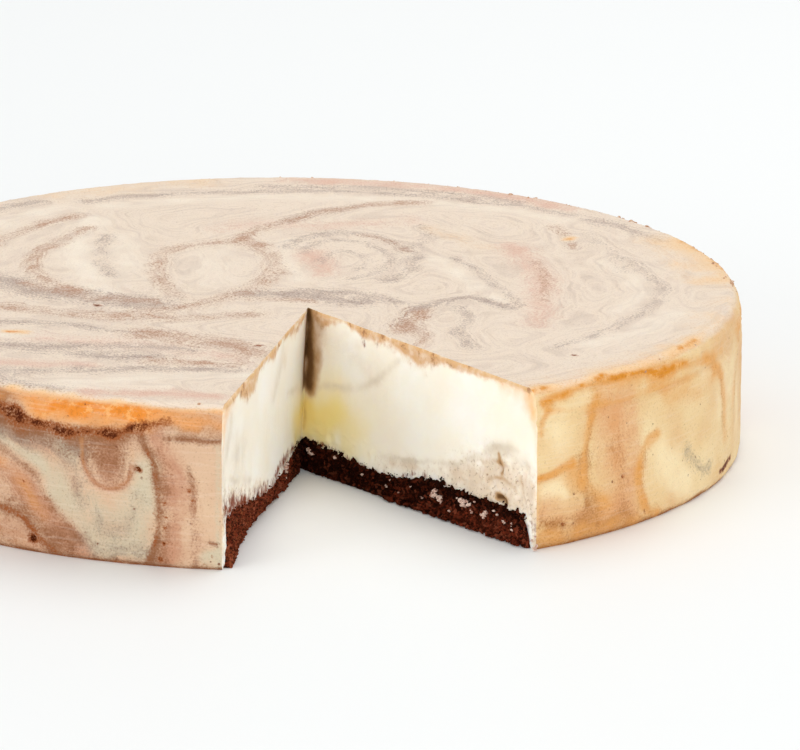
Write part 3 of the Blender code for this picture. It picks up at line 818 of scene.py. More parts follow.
def shape_filling(piece, settings):
    """Maps the slit block onto the cake and gives each face its relief. Returns each point's angle."""
    share, angle, row = pie_places(read_points(piece))
    radius, height = wall_profile(row, angle, settings.rim_round)
    edge_share = (PAN_RADIUS - BASE_INSET) / PAN_RADIUS
    over_base = share < edge_share + 0.002
    layer = base_thickness(np.clip(share / edge_share, 0.0, 1.0), angle) + FIT_GAP
    floor = np.where(over_base, layer, 0.0)
    height = floor + (CAKE_HEIGHT - floor) * height / CAKE_HEIGHT
    points = place(share, angle, height, share * radius)

    right, left = cut_directions()
    outward = np.stack((np.cos(angle), np.sin(angle), np.zeros_like(angle)), axis=1)
    on_wall = (share > 0.999) & (row < 1.0)
    on_top = row > 0.999
    wall = on_wall[:, None] * outward
    spots = wall_spots(points)

    dent = relief(points, WALL_RELIEF)
    dent += smooth_step(points[:, 2], *BAND_EDGE) * relief(points, BAND_RELIEF)
    holes = [(at * ROUND_MM, up, wide) for at, up, wide in WALL_PITS]
    dent -= pits(spots[:, 0], spots[:, 1], holes, WALL_PIT_DEPTH, WALL_PIT_MOUTH)
    points += wall * dent[:, None]

    bumps = RIM_GRAIN * np.maximum(lumps(points, RIM_GRAIN_SIZE, 4.0, 2) - 0.1, 0.0)
    bumps *= hump(share, 1.0, 0.015) * smooth_step(row, 0.9, 0.97)
    points += outward * bumps[:, None]
    points[:, 2] += np.where(on_top, relief(points, TOP_RELIEF) - TOP_SINK, 0.0) + bumps * on_top * 0.5

    inside_face = smooth_step(share, 0.0, 0.06) * (share < 0.9999) * (row < 0.9999) * (row > 1e-4)
    for cut, normal, bubbles in ((RIGHT_CUT, right, RIGHT_PITS), (LEFT_CUT, left, LEFT_PITS)):
        knife = cut_relief(points, bubbles, settings.knife_wave)
        on_cut = np.abs(angle - cut) < ON_CUT
        points += (on_cut * inside_face * knife)[:, None] * normal
    write_points(piece, points)
    return angle


def paint_part(spots, part, strokes, tones):
    """Paints the spots of one part of the surface and leaves all others bare."""
    painted, near = paint(spots[part], strokes, tones)
    flow = np.zeros(len(spots))
    flow[part] = near
    whole = {}
    for tone in tones:
        whole[tone] = np.zeros(len(spots))
        whole[tone][part] = painted[tone]
    return whole, flow


# Where the wall turns from the cool tones of the left front, darkened there as painted shade, to the warm
# ones, in degrees round
WARM_FROM_RIGHT = (264.0, 300.0)
WARM_FROM_LEFT = (204.0, 168.0)


def paint_filling(piece, angle):
    """Writes the strength of each tone, and what else the materials read, as attributes of the filling."""
    points = read_points(piece)
    flat = points[:, :2] / MM
    upper = smooth_step(points[:, 2], CAKE_HEIGHT - 0.0020, CAKE_HEIGHT - 0.0003)
    top_tones, top_flow = paint_part(flat, upper > 0.0, TOP_STROKES, TONES)
    wall_strokes = around(WALL_STROKES) + around(unseen_wall_strokes())
    on_wall = (upper < 1.0) & (np.hypot(points[:, 0], points[:, 1]) > PAN_RADIUS - 0.006)
    wall_tones, wall_flow = paint_part(wall_spots(points), on_wall, wall_strokes, TONES)
    for tone in TONES:
        give_attribute(piece, tone, top_tones[tone] * upper + wall_tones[tone] * (1.0 - upper))
    give_attribute(piece, "flow", top_flow * upper + wall_flow * (1.0 - upper))
    give_attribute(piece, "upper", upper)
    degrees = np.degrees(np.arctan2(points[:, 1], points[:, 0])) % 360.0
    warm_unshaded = smooth_step(degrees, *WARM_FROM_RIGHT) + smooth_step(degrees, *WARM_FROM_LEFT)
    give_attribute(piece, "warm_unshaded", warm_unshaded)
    cut = cut_places(points)
    middle = (RIGHT_CUT + LEFT_CUT) / 2.0
    right_tones, _ = paint_part(cut, np.abs(angle - RIGHT_CUT) < ON_CUT, RIGHT_CUT_STROKES, CUT_TONES)
    left_tones, _ = paint_part(cut, np.abs(angle - LEFT_CUT) < ON_CUT, LEFT_CUT_STROKES, CUT_TONES)
    for tone in CUT_TONES:
        give_attribute(piece, "cut_" + tone, np.where(angle > middle, left_tones[tone], right_tones[tone]))


def srgb(text):
    """A colour from its usual hexadecimal name, in Blender's linear values."""
    parts = [int(text[i : i + 2], 16) / 255.0 for i in (1, 3, 5)]
    linear = [part / 12.92 if part <= 0.04045 else ((part + 0.055) / 1.055) ** 2.4 for part in parts]
    return (*linear, 1.0)


class Nodes:
    """Adds nodes to a tree and links each value that is a socket."""

    def __init__(self, tree):
        self.tree = tree
        self.count = 0

    def add(self, kind, values=(), out=0, **settings):
        node = self.tree.nodes.new(kind)
        node.location = (self.count // 6 * 220 - 4000, -(self.count % 6) * 230)
        self.count += 1
        for name, value in settings.items():
            setattr(node, name, value)
        for key, value in dict(values).items():
            if isinstance(value, bpy.types.NodeSocket):
                self.tree.links.new(value, node.inputs[key])
            else:
                node.inputs[key].default_value = value
        return node.outputs[out]

    def math(self, operation, first, second, clamp=False):
        values = {0: first, 1: second}
        return self.add("ShaderNodeMath", values, operation=operation, use_clamp=clamp)

    def plus(self, first, second, clamp=False):
        return self.math("ADD", first, second, clamp)

    def minus(self, first, second):
        return self.math("SUBTRACT", first, second)

    def times(self, first, second):
        return self.math("MULTIPLY", first, second)

    def step(self, value, low, high, to_low=0.0, to_high=1.0):
        values = {0: value, 1: low, 2: high, 3: to_low, 4: to_high}
        return self.add("ShaderNodeMapRange", values, interpolation_type="SMOOTHSTEP")

    def mix(self, factor, first, second, blend="MIX"):
        values = {0: factor, 6: first, 7: second}
        return self.add("ShaderNodeMix", values, out=2, data_type="RGBA", blend_type=blend)

    def grain(self, place, size, detail=2.0, rough=0.5, distortion=0.0):
        """Noise whose lumps are about this many metres across."""
        values = {"Vector": place, "Scale": 1.0 / size}
        values.update({"Detail": detail, "Roughness": rough, "Distortion": distortion})
        return self.add("ShaderNodeTexNoise", values)

    def cells(self, place, size):
        values = {"Vector": place, "Scale": 1.0 / size}
        return self.add("ShaderNodeTexVoronoi", values)

    def painted(self, name):
        return self.add("ShaderNodeAttribute", out=2, attribute_name=name)

    def here(self):
        return self.add("ShaderNodeTexCoord", out=3)


def new_material(name):
    material = bpy.data.materials.new(name)
    material.use_nodes = True
    shader = material.node_tree.nodes["Principled BSDF"]
    return material, Nodes(material.node_tree), shader


def finish_shader(nodes, shader, colour, roughness, height, distance, strength):
    bump = nodes.add("ShaderNodeBump", {"Strength": strength, "Distance": distance, "Height": height})
    nodes.tree.links.new(colour, shader.inputs["Base Color"])
    nodes.tree.links.new(roughness, shader.inputs["Roughness"])
    nodes.tree.links.new(bump, shader.inputs["Normal"])


TONE_INPUTS = {
    "Under": "NodeSocketColor",
    "Tone": "NodeSocketColor",
    "Painted": "NodeSocketFloat",
    "Grain": "NodeSocketFloat",
    "Raggedness": "NodeSocketFloat",
}


def ragged_tone_group():
    """Lays one tone over a colour, with an edge that the grain breaks up."""
    group = bpy.data.node_groups.new("Ragged tone", "ShaderNodeTree")
    for name, kind in TONE_INPUTS.items():
        group.interface.new_socket(name, in_out="INPUT", socket_type=kind)
    group.interface.new_socket("Colour", in_out="OUTPUT", socket_type="NodeSocketColor")
    nodes = Nodes(group)
    given = group.nodes.new("NodeGroupInput").outputs
    centred = nodes.minus(given["Grain"], 0.5)
    broken = nodes.times(centred, given["Raggedness"])
    held = nodes.times(broken, nodes.step(given["Painted"], 0.0, 0.25))
    mask = nodes.step(nodes.plus(given["Painted"], held), 0.0, 1.1)
    result = nodes.mix(mask, given["Under"], given["Tone"])
    group.links.new(result, group.nodes.new("NodeGroupOutput").inputs["Colour"])
    return group


def lay_tone(nodes, group, under, tone, painted, grain, raggedness):
    """The colour that is left after one more tone is laid over it."""
    node = nodes.tree.nodes.new("ShaderNodeGroup")
    node.node_tree = group
    values = {"Under": under, "Tone": tone, "Painted": painted, "Grain": grain, "Raggedness": raggedness}
    for name, value in values.items():
        if isinstance(value, bpy.types.NodeSocket):
            nodes.tree.links.new(value, node.inputs[name])
        else:
            node.inputs[name].default_value = value
    return node.outputs["Colour"]


def add_ramp(nodes, factor, stops):
    """A colour ramp with these places and colours."""
    socket = nodes.add("ShaderNodeValToRGB", {0: factor})
    ramp = socket.node.color_ramp
    while len(ramp.elements) > 1:
        ramp.elements.remove(ramp.elements[-1])
    for i, (at, name) in enumerate(stops):
        element = ramp.elements[0] if i == 0 else ramp.elements.new(at)
        element.position = at
        element.color = srgb(name)
    return socket


# Base colours of the top, of the wall at the left front, darkened there as painted shade, and of the rest of
# the wall
TOP_RAMP = ((0.28, "#d9c6b4"), (0.41, "#e3d0bd"), (0.52, "#ecdac6"), (0.62, "#e6d3bf"), (0.74, "#dbc7b4"))
COOL_SHADED_RAMP = ((0.30, "#c8a386"), (0.50, "#d2b092"), (0.70, "#dabc9c"))
WARM_RAMP = ((0.30, "#dfb381"), (0.50, "#e7c794"), (0.70, "#efd8aa"))

# Each tone's colours on the top, at the left front of the wall, darkened there as painted shade, and on the
# rest of it, and its raggedness
SKIN_TONES = (
    ("cream", "#f4e6d3", "#c8bca2", "#f4dfb4", 0.7),
    ("blush", "#dfb8a3", "#bf8d70", "#dca475", 0.8),
    ("ash", "#b8a497", "#988574", "#b5a284", 1.3),
    ("cocoa", "#bc947b", "#8d5d3e", "#ae753f", 1.3),
)


def marbled_skin(ragged, settings):
    """The baked outside: both creams in fine streaks along the painted marbling, with browned places."""
    material, nodes, shader = new_material("marbled_skin")
    here = nodes.here()
    upper = nodes.painted("upper")
    warm_unshaded = nodes.painted("warm_unshaded")
    flow = nodes.times(nodes.painted("flow"), 0.001)
    slow = nodes.add("ShaderNodeVectorMath", {0: here, 3: 0.16}, operation="SCALE")
    across = nodes.add("ShaderNodeCombineXYZ", {0: flow, 1: flow, 2: flow})
    streaked = nodes.add("ShaderNodeVectorMath", {0: slow, 1: across}, operation="ADD")
    broad = nodes.grain(streaked, 0.0026, 3.0, 0.6, 0.2)
    fine = nodes.grain(streaked, 0.0008, 2.0, 0.6)
    grain = nodes.grain(here, 0.0005, 3.0, 0.7)
    coarse = nodes.grain(here, 0.0024, 4.0, 0.7)
    cloudy = nodes.grain(here, 0.020, 2.0, 0.5)
    level = nodes.add("ShaderNodeVectorMath", {0: here, 1: (0.07, 0.07, 1.0)}, operation="MULTIPLY")
    scrapes = nodes.grain(level, 0.0007, 3.0, 0.7)

    # The left front of the wall has cooler tones of its own, darkened further as painted shade for the side
    # that gets less light
    wall_colour = nodes.mix(warm_unshaded, add_ramp(nodes, cloudy, COOL_SHADED_RAMP), add_ramp(nodes, cloudy, WARM_RAMP))
    colour = nodes.mix(upper, wall_colour, add_ramp(nodes, broad, TOP_RAMP))
    tinted = nodes.mix(0.5, settings.light_batter, (1.0, 1.0, 1.0, 1.0))
    colour = nodes.mix(1.0, colour, tinted, "MULTIPLY")

    stipple = nodes.times(nodes.minus(grain, 0.5), nodes.step(upper, 0.0, 1.0, 1.0, 2.2))
    strands = nodes.times(nodes.minus(fine, 0.5), nodes.step(upper, 0.0, 1.0, 0.8, 1.1))
    edge = nodes.plus(nodes.plus(stipple, strands), 0.5)
    for name, on_top, left_front, elsewhere, raggedness in SKIN_TONES:
        on_wall = nodes.mix(warm_unshaded, srgb(left_front), srgb(elsewhere))
        tone = nodes.mix(upper, on_wall, srgb(on_top))
        colour = lay_tone(nodes, ragged, colour, tone, nodes.painted(name), edge, raggedness)
    toast = nodes.painted("toast")
    tan = nodes.mix(upper, nodes.mix(warm_unshaded, srgb("#e19d5f"), srgb("#e0a35e")), srgb("#f0ca9c"))
    colour = lay_tone(nodes, ragged, colour, tan, nodes.step(toast, 0.0, 0.7), edge, 0.5)
    strong = nodes.mix(warm_unshaded, settings.browned, srgb("#d88d2e"))
    colour = lay_tone(nodes, ragged, colour, strong, nodes.step(toast, 0.50, 1.0), coarse, 2.2)
    deep = nodes.times(nodes.step(coarse, 0.54, 0.64), nodes.step(toast, 0.7, 1.0))
    colour = nodes.mix(nodes.times(deep, 0.4), colour, srgb("#b9661f"))
    # painted highlights: pale yellow glints on the browned band where it is strongest
    glints = nodes.times(nodes.step(coarse, 0.46, 0.38), nodes.step(toast, 0.5, 0.9))
    colour = nodes.mix(nodes.times(glints, 0.38), colour, srgb("#fbc680"))

    specks = nodes.step(grain, 0.53, 0.70)
    darker = nodes.plus(nodes.painted("cocoa"), nodes.painted("ash"), True)
    amount = nodes.plus(nodes.times(darker, 0.35), 0.28)
    speckled = nodes.times(specks, nodes.times(amount, nodes.step(upper, 0.0, 1.0, 0.85, 1.0)))
    colour = nodes.mix(speckled, colour, nodes.mix(upper, srgb("#8a5f44"), srgb("#84634f")))
    lower = nodes.minus(1.0, upper)
    scraped = nodes.times(nodes.step(scrapes, 0.50, 0.66), nodes.times(lower, 0.09))
    colour = nodes.mix(scraped, colour, srgb("#fbeedd"))
    # pinholes and bubbles, pressed in by the bump and darkened reddish brown as painted shade in their
    # hollows
    pinholes = nodes.step(nodes.cells(here, 0.0046), 0.09, 0.055)
    bubbles = nodes.step(nodes.cells(here, 0.0019), 0.15, 0.09)
    few = nodes.times(bubbles, nodes.step(cloudy, 0.5, 0.62))
    holes = nodes.times(nodes.plus(pinholes, few, True), lower)
    holes = nodes.times(holes, nodes.step(coarse, 0.45, 0.60))
    colour = nodes.mix(nodes.times(holes, 0.8), colour, srgb("#7a4228"))
    char = nodes.painted("char")
    gritty = nodes.plus(nodes.times(coarse, 0.5), nodes.times(grain, 0.5))
    colour = lay_tone(nodes, ragged, colour, srgb("#94522a"), nodes.step(char, 0.0, 0.7), gritty, 4.5)
    colour = lay_tone(nodes, ragged, colour, settings.burnt, nodes.step(char, 0.36, 1.0), gritty, 7.0)

    roughness = nodes.step(grain, 0.3, 0.8, 0.45, 0.65)
    bumps = nodes.plus(nodes.times(grain, 0.7), nodes.times(fine, 0.5))
    bumps = nodes.plus(bumps, nodes.times(scrapes, nodes.times(lower, 0.2)))
    bumps = nodes.minus(bumps, nodes.times(holes, 1.5))
    bumps = nodes.minus(bumps, nodes.times(char, 1.2))
    finish_shader(nodes, shader, colour, roughness, bumps, 0.00035, 0.55)
    shader.inputs["Specular IOR Level"].default_value = 0.07
    shader.inputs["Subsurface Weight"].default_value = 0.12
    shader.inputs["Subsurface Radius"].default_value = (1.0, 0.7, 0.4)
    shader.inputs["Subsurface Scale"].default_value = 0.002
    return material


# Colour and raggedness of each tone on the cut faces; the glow is painted light, the yellow of light bounced
# into the corner at the slice's tip
CUT_COLOURS = (
    ("painted_glow", "#f8e294", 0.2),
    ("mottle", "#e0cdb6", 1.8),
    ("ash", "#d5c7b2", 0.5),
    ("toast", "#f2bd80", 0.5),
    ("smear", "#7c3414", 5.2),
    ("skin", "#d9ae80", 1.8),
)


def cut_cream(ragged, settings):
    """The inside that the knife opened: smooth cream under a thin browned skin."""
    material, nodes, shader = new_material("cut_cream")
    here = nodes.here()
    grain = nodes.grain(here, 0.0008, 3.0, 0.65)
    coarse = nodes.grain(here, 0.0032, 4.0, 0.6)
    cloudy = nodes.grain(here, 0.016, 2.0, 0.5)
    dragged = nodes.add("ShaderNodeVectorMath", {0: here, 1: (1.0, 1.0, 0.16)}, operation="MULTIPLY")
    streaky = nodes.grain(dragged, 0.0009, 4.0, 0.7)
    pale = nodes.mix(nodes.step(cloudy, 0.30, 0.70), srgb("#fcf7ef"), (1.0, 1.0, 1.0, 1.0))
    colour = nodes.mix(1.0, pale, settings.inside, "MULTIPLY")
    broken = nodes.plus(nodes.times(streaky, 0.55), nodes.times(coarse, 0.45))
    sources = {"painted_glow": cloudy, "smear": broken}
    for name, shade, raggedness in CUT_COLOURS:
        painted = nodes.painted("cut_" + name)
        source = sources.get(name, coarse)
        colour = lay_tone(nodes, ragged, colour, srgb(shade), painted, source, raggedness)
    dotted = nodes.times(nodes.step(grain, 0.57, 0.70), nodes.painted("cut_mottle"))
    colour = nodes.mix(nodes.times(dotted, 0.8), colour, srgb("#8f6d50"))
    flecks = nodes.times(nodes.step(coarse, 0.56, 0.66), nodes.painted("cut_skin"))
    colour = nodes.mix(nodes.times(flecks, 0.7), colour, srgb("#94623f"))
    # The shade tone: cocoa batter and brown marks, darkened as painted shade at the slice's tip
    shade = nodes.painted("cut_shade")
    colour = lay_tone(nodes, ragged, colour, srgb("#b78f62"), nodes.step(shade, 0.0, 0.7), coarse, 0.6)
    colour = lay_tone(nodes, ragged, colour, srgb("#6b4a28"), nodes.step(shade, 0.4, 1.0), coarse, 0.8)
    roughness = nodes.step(grain, 0.3, 0.8, 0.45, 0.6)
    bumps = nodes.plus(nodes.times(grain, 0.5), nodes.times(coarse, 1.0))
    finish_shader(nodes, shader, colour, roughness, bumps, 0.0004, 0.35)
    shader.inputs["Specular IOR Level"].default_value = 0.14
    shader.inputs["Subsurface Weight"].default_value = 0.4
    shader.inputs["Subsurface Radius"].default_value = (1.0, 0.8, 0.5)
    shader.inputs["Subsurface Scale"].default_value = 0.004
    return material


def cocoa_crumb(settings):
    """Pressed cocoa crumbs: nearly black grains with reddish ones, more of them painted as light towards the
    outer end, the foot and the left cut.
    """
    material, nodes, shader = new_material("pressed_cocoa")
    here = nodes.here()
    cells = nodes.add("ShaderNodeTexVoronoi", {"Vector": here, "Scale": 1100.0}, out=1)
    grain = nodes.grain(here, 0.0007, 4.0, 0.7)
    coarse = nodes.grain(here, 0.0045, 2.0, 0.5)
    own = nodes.add("ShaderNodeSeparateColor", {0: cells})
    height = nodes.add("ShaderNodeSeparateXYZ", {0: here}, out=2)
    # painted light: the outer end, the foot and the left cut, where light reaches the crumb, are made redder
    outer = nodes.step(nodes.add("ShaderNodeSeparateXYZ", {0: here}, out=1), -0.04, -0.09)
    low = nodes.step(height, 0.009, 0.002)
    lit_redness = nodes.times(nodes.plus(nodes.times(outer, 1.0), 0.2), low)
    left_side = nodes.step(nodes.add("ShaderNodeSeparateXYZ", {0: here}, out=0), 0.006, -0.002)
    lit_redness = nodes.plus(lit_redness, nodes.times(left_side, 2.0))
    blend = nodes.plus(nodes.times(own, 0.40), nodes.times(coarse, 0.40))
    blend = nodes.plus(blend, nodes.times(lit_redness, 0.34))
    shade = nodes.mix(nodes.step(blend, 0.40, 0.98), settings.dark_crumb, settings.red_crumb)
    upright = nodes.add("ShaderNodeVectorMath", {0: here, 1: (1.0, 1.0, 0.18)}, operation="MULTIPLY")
    dragged = nodes.step(nodes.grain(upright, 0.0007, 3.0, 0.7), 0.46, 0.60)
    shade = nodes.mix(nodes.times(dragged, nodes.times(left_side, 0.6)), shade, srgb("#a8603c"))
    colour = nodes.mix(nodes.step(grain, 0.38, 0.58, 0.9, 0.0), shade, srgb("#140501"))
    second = nodes.add("ShaderNodeSeparateColor", {0: cells}, out=1)
    bright = nodes.times(nodes.step(second, 0.86, 0.93), nodes.plus(nodes.times(lit_redness, 0.3), 0.16, True))
    colour = nodes.mix(bright, colour, srgb("#a3583e"))
    roughness = nodes.step(grain, 0.3, 0.8, 0.8, 0.95)
    finish_shader(nodes, shader, colour, roughness, grain, 0.0010, 0.9)
    shader.inputs["Specular IOR Level"].default_value = 0.2
    shader.inputs["IOR"].default_value = 1.2
    return material


def fleck_cream():
    """Pale bits of filling pressed into the crumb, stained by it."""
    material, nodes, shader = new_material("fleck_cream")
    here = nodes.here()
    grain = nodes.grain(here, 0.0008, 3.0, 0.6)
    colour = nodes.mix(nodes.step(grain, 0.42, 0.62), srgb("#dfc5b5"), srgb("#b08372"))
    finish_shader(nodes, shader, colour, nodes.step(grain, 0.3, 0.8, 0.5, 0.7), grain, 0.0004, 0.5)
    return material


def browned_crumb():
    """Small baked nibs that stand on the rim."""
    material, nodes, shader = new_material("browned_crumb")
    grain = nodes.grain(nodes.here(), 0.0010, 3.0, 0.6)
    colour = nodes.mix(nodes.step(grain, 0.42, 0.66), srgb("#b98a68"), srgb("#e3c9b0"))
    finish_shader(nodes, shader, colour, nodes.step(grain, 0.3, 0.8, 0.6, 0.8), grain, 0.0004, 0.5)
    return material


def material_of_faces(piece, test):
    """Gives the faces that pass a test the second material."""
    for face in piece.data.polygons:
        face.material_index = 1 if test(face) else 0


def finish_piece(piece, node, sharp=50.0):
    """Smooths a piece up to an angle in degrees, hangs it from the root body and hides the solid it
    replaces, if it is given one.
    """
    select_nothing()
    piece.select_set(True)
    bpy.context.view_layer.objects.active = piece
    bpy.ops.object.shade_smooth_by_angle(angle=math.radians(sharp))
    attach(piece, "root")
    if node:
        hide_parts(node)


def deep_below(vert):
    """Whether a point of the block's underside is clear of the foot and of the slit."""
    near_slit = abs(vert.co.x) < UNDERSIDE_CLEAR and vert.co.y < UNDERSIDE_CLEAR
    inside = max(abs(vert.co.x), abs(vert.co.y)) < UNDERSIDE_REACH
    return vert.co.z < 0.001 and inside and not near_slit


def thin_underside():
    """Decimates the hidden underside of the block that is in edit mode."""
    pick("FACE", lambda face: all(deep_below(vert) for vert in face.verts))
    bpy.ops.mesh.decimate(ratio=UNDERSIDE_DETAIL)


class FillingSettings(bpy.types.PropertyGroup):
    """Sizes and colours of the filling that a user would change"""

    cells: bpy.props.IntProperty(
        name="Cells", description="Cells across the top, which set how fine the marbling is", default=140,
        min=40, max=150,
    )
    rim_round: bpy.props.FloatProperty(
        name="Rim rounding", description="Radius of the rim's rounded edge", default=0.0029,
        min=0.001, max=0.004, unit="LENGTH", precision=4,
    )
    knife_wave: bpy.props.FloatProperty(
        name="Knife wave", description="How deep the knife's waves are in the cut faces", default=0.00035,
        min=0.0, max=0.001, unit="LENGTH", precision=5,
    )
    light_batter: bpy.props.FloatVectorProperty(
        name="Light batter", description="Tint of the baked skin, where white leaves it as it is", size=4,
        subtype="COLOR", default=(1.0, 1.0, 1.0, 1.0), min=0.0, max=1.0,
    )
    inside: bpy.props.FloatVectorProperty(
        name="Inside", description="Colour of the cream in the cut faces", size=4, subtype="COLOR",
        default=srgb("#fdf8ee"), min=0.0, max=1.0,
    )
    browned: bpy.props.FloatVectorProperty(
        name="Browned", description="Colour of the browned band at its strongest", size=4, subtype="COLOR",
        default=srgb("#e38a33"), min=0.0, max=1.0,
    )
    burnt: bpy.props.FloatVectorProperty(
        name="Burnt", description="Colour of the darkest baked line and spots", size=4, subtype="COLOR",
        default=srgb("#4c1a00"), min=0.0, max=1.0,
    )


class CrumbSettings(bpy.types.PropertyGroup):
    """Sizes and colours of the crumb base that a user would change"""

    depth: bpy.props.FloatProperty(
        name="Crumb depth", description="How far the crumbs stand out of a cut edge", default=0.0009,
        min=0.0, max=0.0015, unit="LENGTH", precision=4,
    )
    loose: bpy.props.IntProperty(
        name="Loose crumbs", description="Crumbs that cling to each cut edge", default=520, min=0, max=600
    )
    clods: bpy.props.IntProperty(
        name="Clods", description="Larger clods along the top and at the foot of the right cut", default=110,
        min=0, max=200,
    )
    dark_crumb: bpy.props.FloatVectorProperty(
        name="Dark crumb", description="Colour of the darkest crumbs", size=4, subtype="COLOR",
        default=srgb("#290c03"), min=0.0, max=1.0,
    )
    red_crumb: bpy.props.FloatVectorProperty(
        name="Red crumb", description="Colour of the reddish crumbs", size=4, subtype="COLOR",
        default=srgb("#843822"), min=0.0, max=1.0,
    )


class StageSettings(bpy.types.PropertyGroup):
    """Colours and light of the stage"""

    floor: bpy.props.FloatVectorProperty(
        name="Floor", description="Colour of the floor", size=4, subtype="COLOR", default=srgb("#f4f5f4"),
        min=0.0, max=1.0,
    )
    sky_strength: bpy.props.FloatProperty(
        name="Sky strength", description="Brightness of the light from all round", default=0.74,
        min=0.0, max=2.0,
    )
    lamp_power: bpy.props.FloatProperty(
        name="Lamp power", description="Power that each softbox takes its share of", default=4.0,
        min=0.0, max=50.0, subtype="POWER", unit="POWER",
    )


class CHEESECAKE_OT_add_filling(bpy.types.Operator):
    """Add the marbled filling with its browned band, rim and two cut faces"""

    bl_idname = "cheesecake.add_filling"
    bl_label = "Add filling"

    def execute(self, context):
        settings = context.scene.cheesecake_filling
        piece = add_slit_block("marbled_filling", settings.cells, FILLING_ROWS, FILLING_CUT_REFINE)
        refine_front_wall()
        thin_underside()
        bpy.ops.object.mode_set(mode="OBJECT")
        angle = shape_filling(piece, settings)
        paint_filling(piece, angle)
        on_cut = np.minimum(np.abs(angle - RIGHT_CUT), np.abs(angle - LEFT_CUT)) < ON_CUT
        ragged = ragged_tone_group()
        piece.data.materials.append(marbled_skin(ragged, settings))
        piece.data.materials.append(cut_cream(ragged, settings))
        material_of_faces(piece, lambda face: all(on_cut[i] for i in face.vertices))
        finish_piece(piece, "cheesecake_filling")
        return {"FINISHED"}


class CHEESECAKE_OT_add_crumb_base(bpy.types.Operator):
    """Add the pressed crumb layer with its crumbly cut edges"""

    bl_idname = "cheesecake.add_crumb_base"
    bl_label = "Add crumb base"

    def execute(self, context):
        settings = context.scene.cheesecake_crumb
        piece = add_slit_block("pressed_crumb_base", BASE_CELLS, BASE_ROWS, BASE_CUT_REFINE)
        bpy.ops.object.mode_set(mode="OBJECT")
        share, angle, row = pie_places(read_points(piece))
        edge = pan_radius(angle) - FOOT_ROUND - BASE_INSET
        points = place(share * edge / PAN_RADIUS, angle, row * base_thickness(share, angle), share * edge)
        near_left = smooth_step(1.0 - share * PAN_RADIUS * (LEFT_CUT - angle) / UNDERCUT_REACH)
        crumbled = undercut(share * CUT_LENGTH, row) * near_left
        points -= crumbled[:, None] * cut_directions()[1]
        for cut, normal in zip((RIGHT_CUT, LEFT_CUT), cut_directions()):
            on_cut = (np.abs(angle - cut) < ON_CUT) & (share > 0.0)
            crumbs = 0.6 + lumps(points, 0.0024, 0.0, 4) + 0.9 * lumps(points, 0.0007, 2.0, 2)
            depth = settings.depth * smooth_step(share, 0.0, 0.06)
            crumbs *= depth * (0.5 + 0.5 * smooth_step(row, 0.0, 0.15))
            points += (on_cut * crumbs)[:, None] * normal
        points[:, 2] = np.maximum(points[:, 2], 0.0)
        write_points(piece, points)
        piece.data.materials.append(cocoa_crumb(settings))
        finish_piece(piece, "crumb_base", 80.0)
        return {"FINISHED"}


def cut_point(cut, along, height):
    """A point of a cut face at a distance out from the slice's tip and a height, both in metres."""
    tip = slice_tip(np.array([height]))[0]
    corner = PAN_RADIUS * np.array((math.cos(cut), math.sin(cut)))
    share = along / float(np.hypot(*(corner - tip)))
    return Vector(place(np.array([share]), cut, np.array([height]), np.array([share * PAN_RADIUS]))[0])


def base_height(cut, along):
    """Height of the crumb base in a cut face, at metres out from the slice's tip."""
    corner = PAN_RADIUS * np.array((math.cos(cut), math.sin(cut)))
    share = along / float(np.hypot(*(corner - SLICE_TIP_FLOOR)))
    return float(base_thickness(np.array([share]), np.array([cut]))[0])


LUMP_SHAPES = 4


def add_lumps(name, spots, rng):
    """Joins one small crumb for each spot: its place, its size and how flat it is."""
    shapes = []
    for seed in range(LUMP_SHAPES):
        select_nothing()
        bpy.ops.mesh.primitive_ico_sphere_add(subdivisions=2, radius=0.5)
        lump = bpy.context.object
        points = read_points(lump)
        write_points(lump, points * (1.0 + 0.8 * lumps(points, 0.42, 7.0 * seed + 0.3))[:, None])
        shapes.append(lump)
    copies = []
    for at, size, flat in spots:
        copy = shapes[rng.integers(len(shapes))].copy()
        copy.data = copy.data.copy()
        spun = Matrix.Rotation(rng.uniform(0.0, math.tau), 4, "Z")
        turned = spun @ Matrix.Rotation(rng.uniform(0.0, 1.0), 4, "X")
        sized = Matrix.Diagonal((size, size * rng.uniform(0.6, 1.0), size * flat, 1.0))
        copy.matrix_world = Matrix.Translation(at) @ sized @ turned
        bpy.context.collection.objects.link(copy)
        copies.append(copy)
    for lump in shapes:
        bpy.data.objects.remove(lump)
    select_nothing()
    for copy in copies:
        copy.select_set(True)
    piece = copies[0]
    bpy.context.view_layer.objects.active = piece
    bpy.ops.object.join()
    bpy.ops.object.transform_apply(location=True, rotation=True, scale=True)
    piece.name = name
    return piece


# Where crumbs cling, clods stick out and clods lie at the foot, in metres out from the slice's tip
CRUMB_STRETCH = (0.002, 0.086)
CLOD_STRETCH = (0.001, 0.086)
SPILL_STRETCH = (0.034, 0.084)


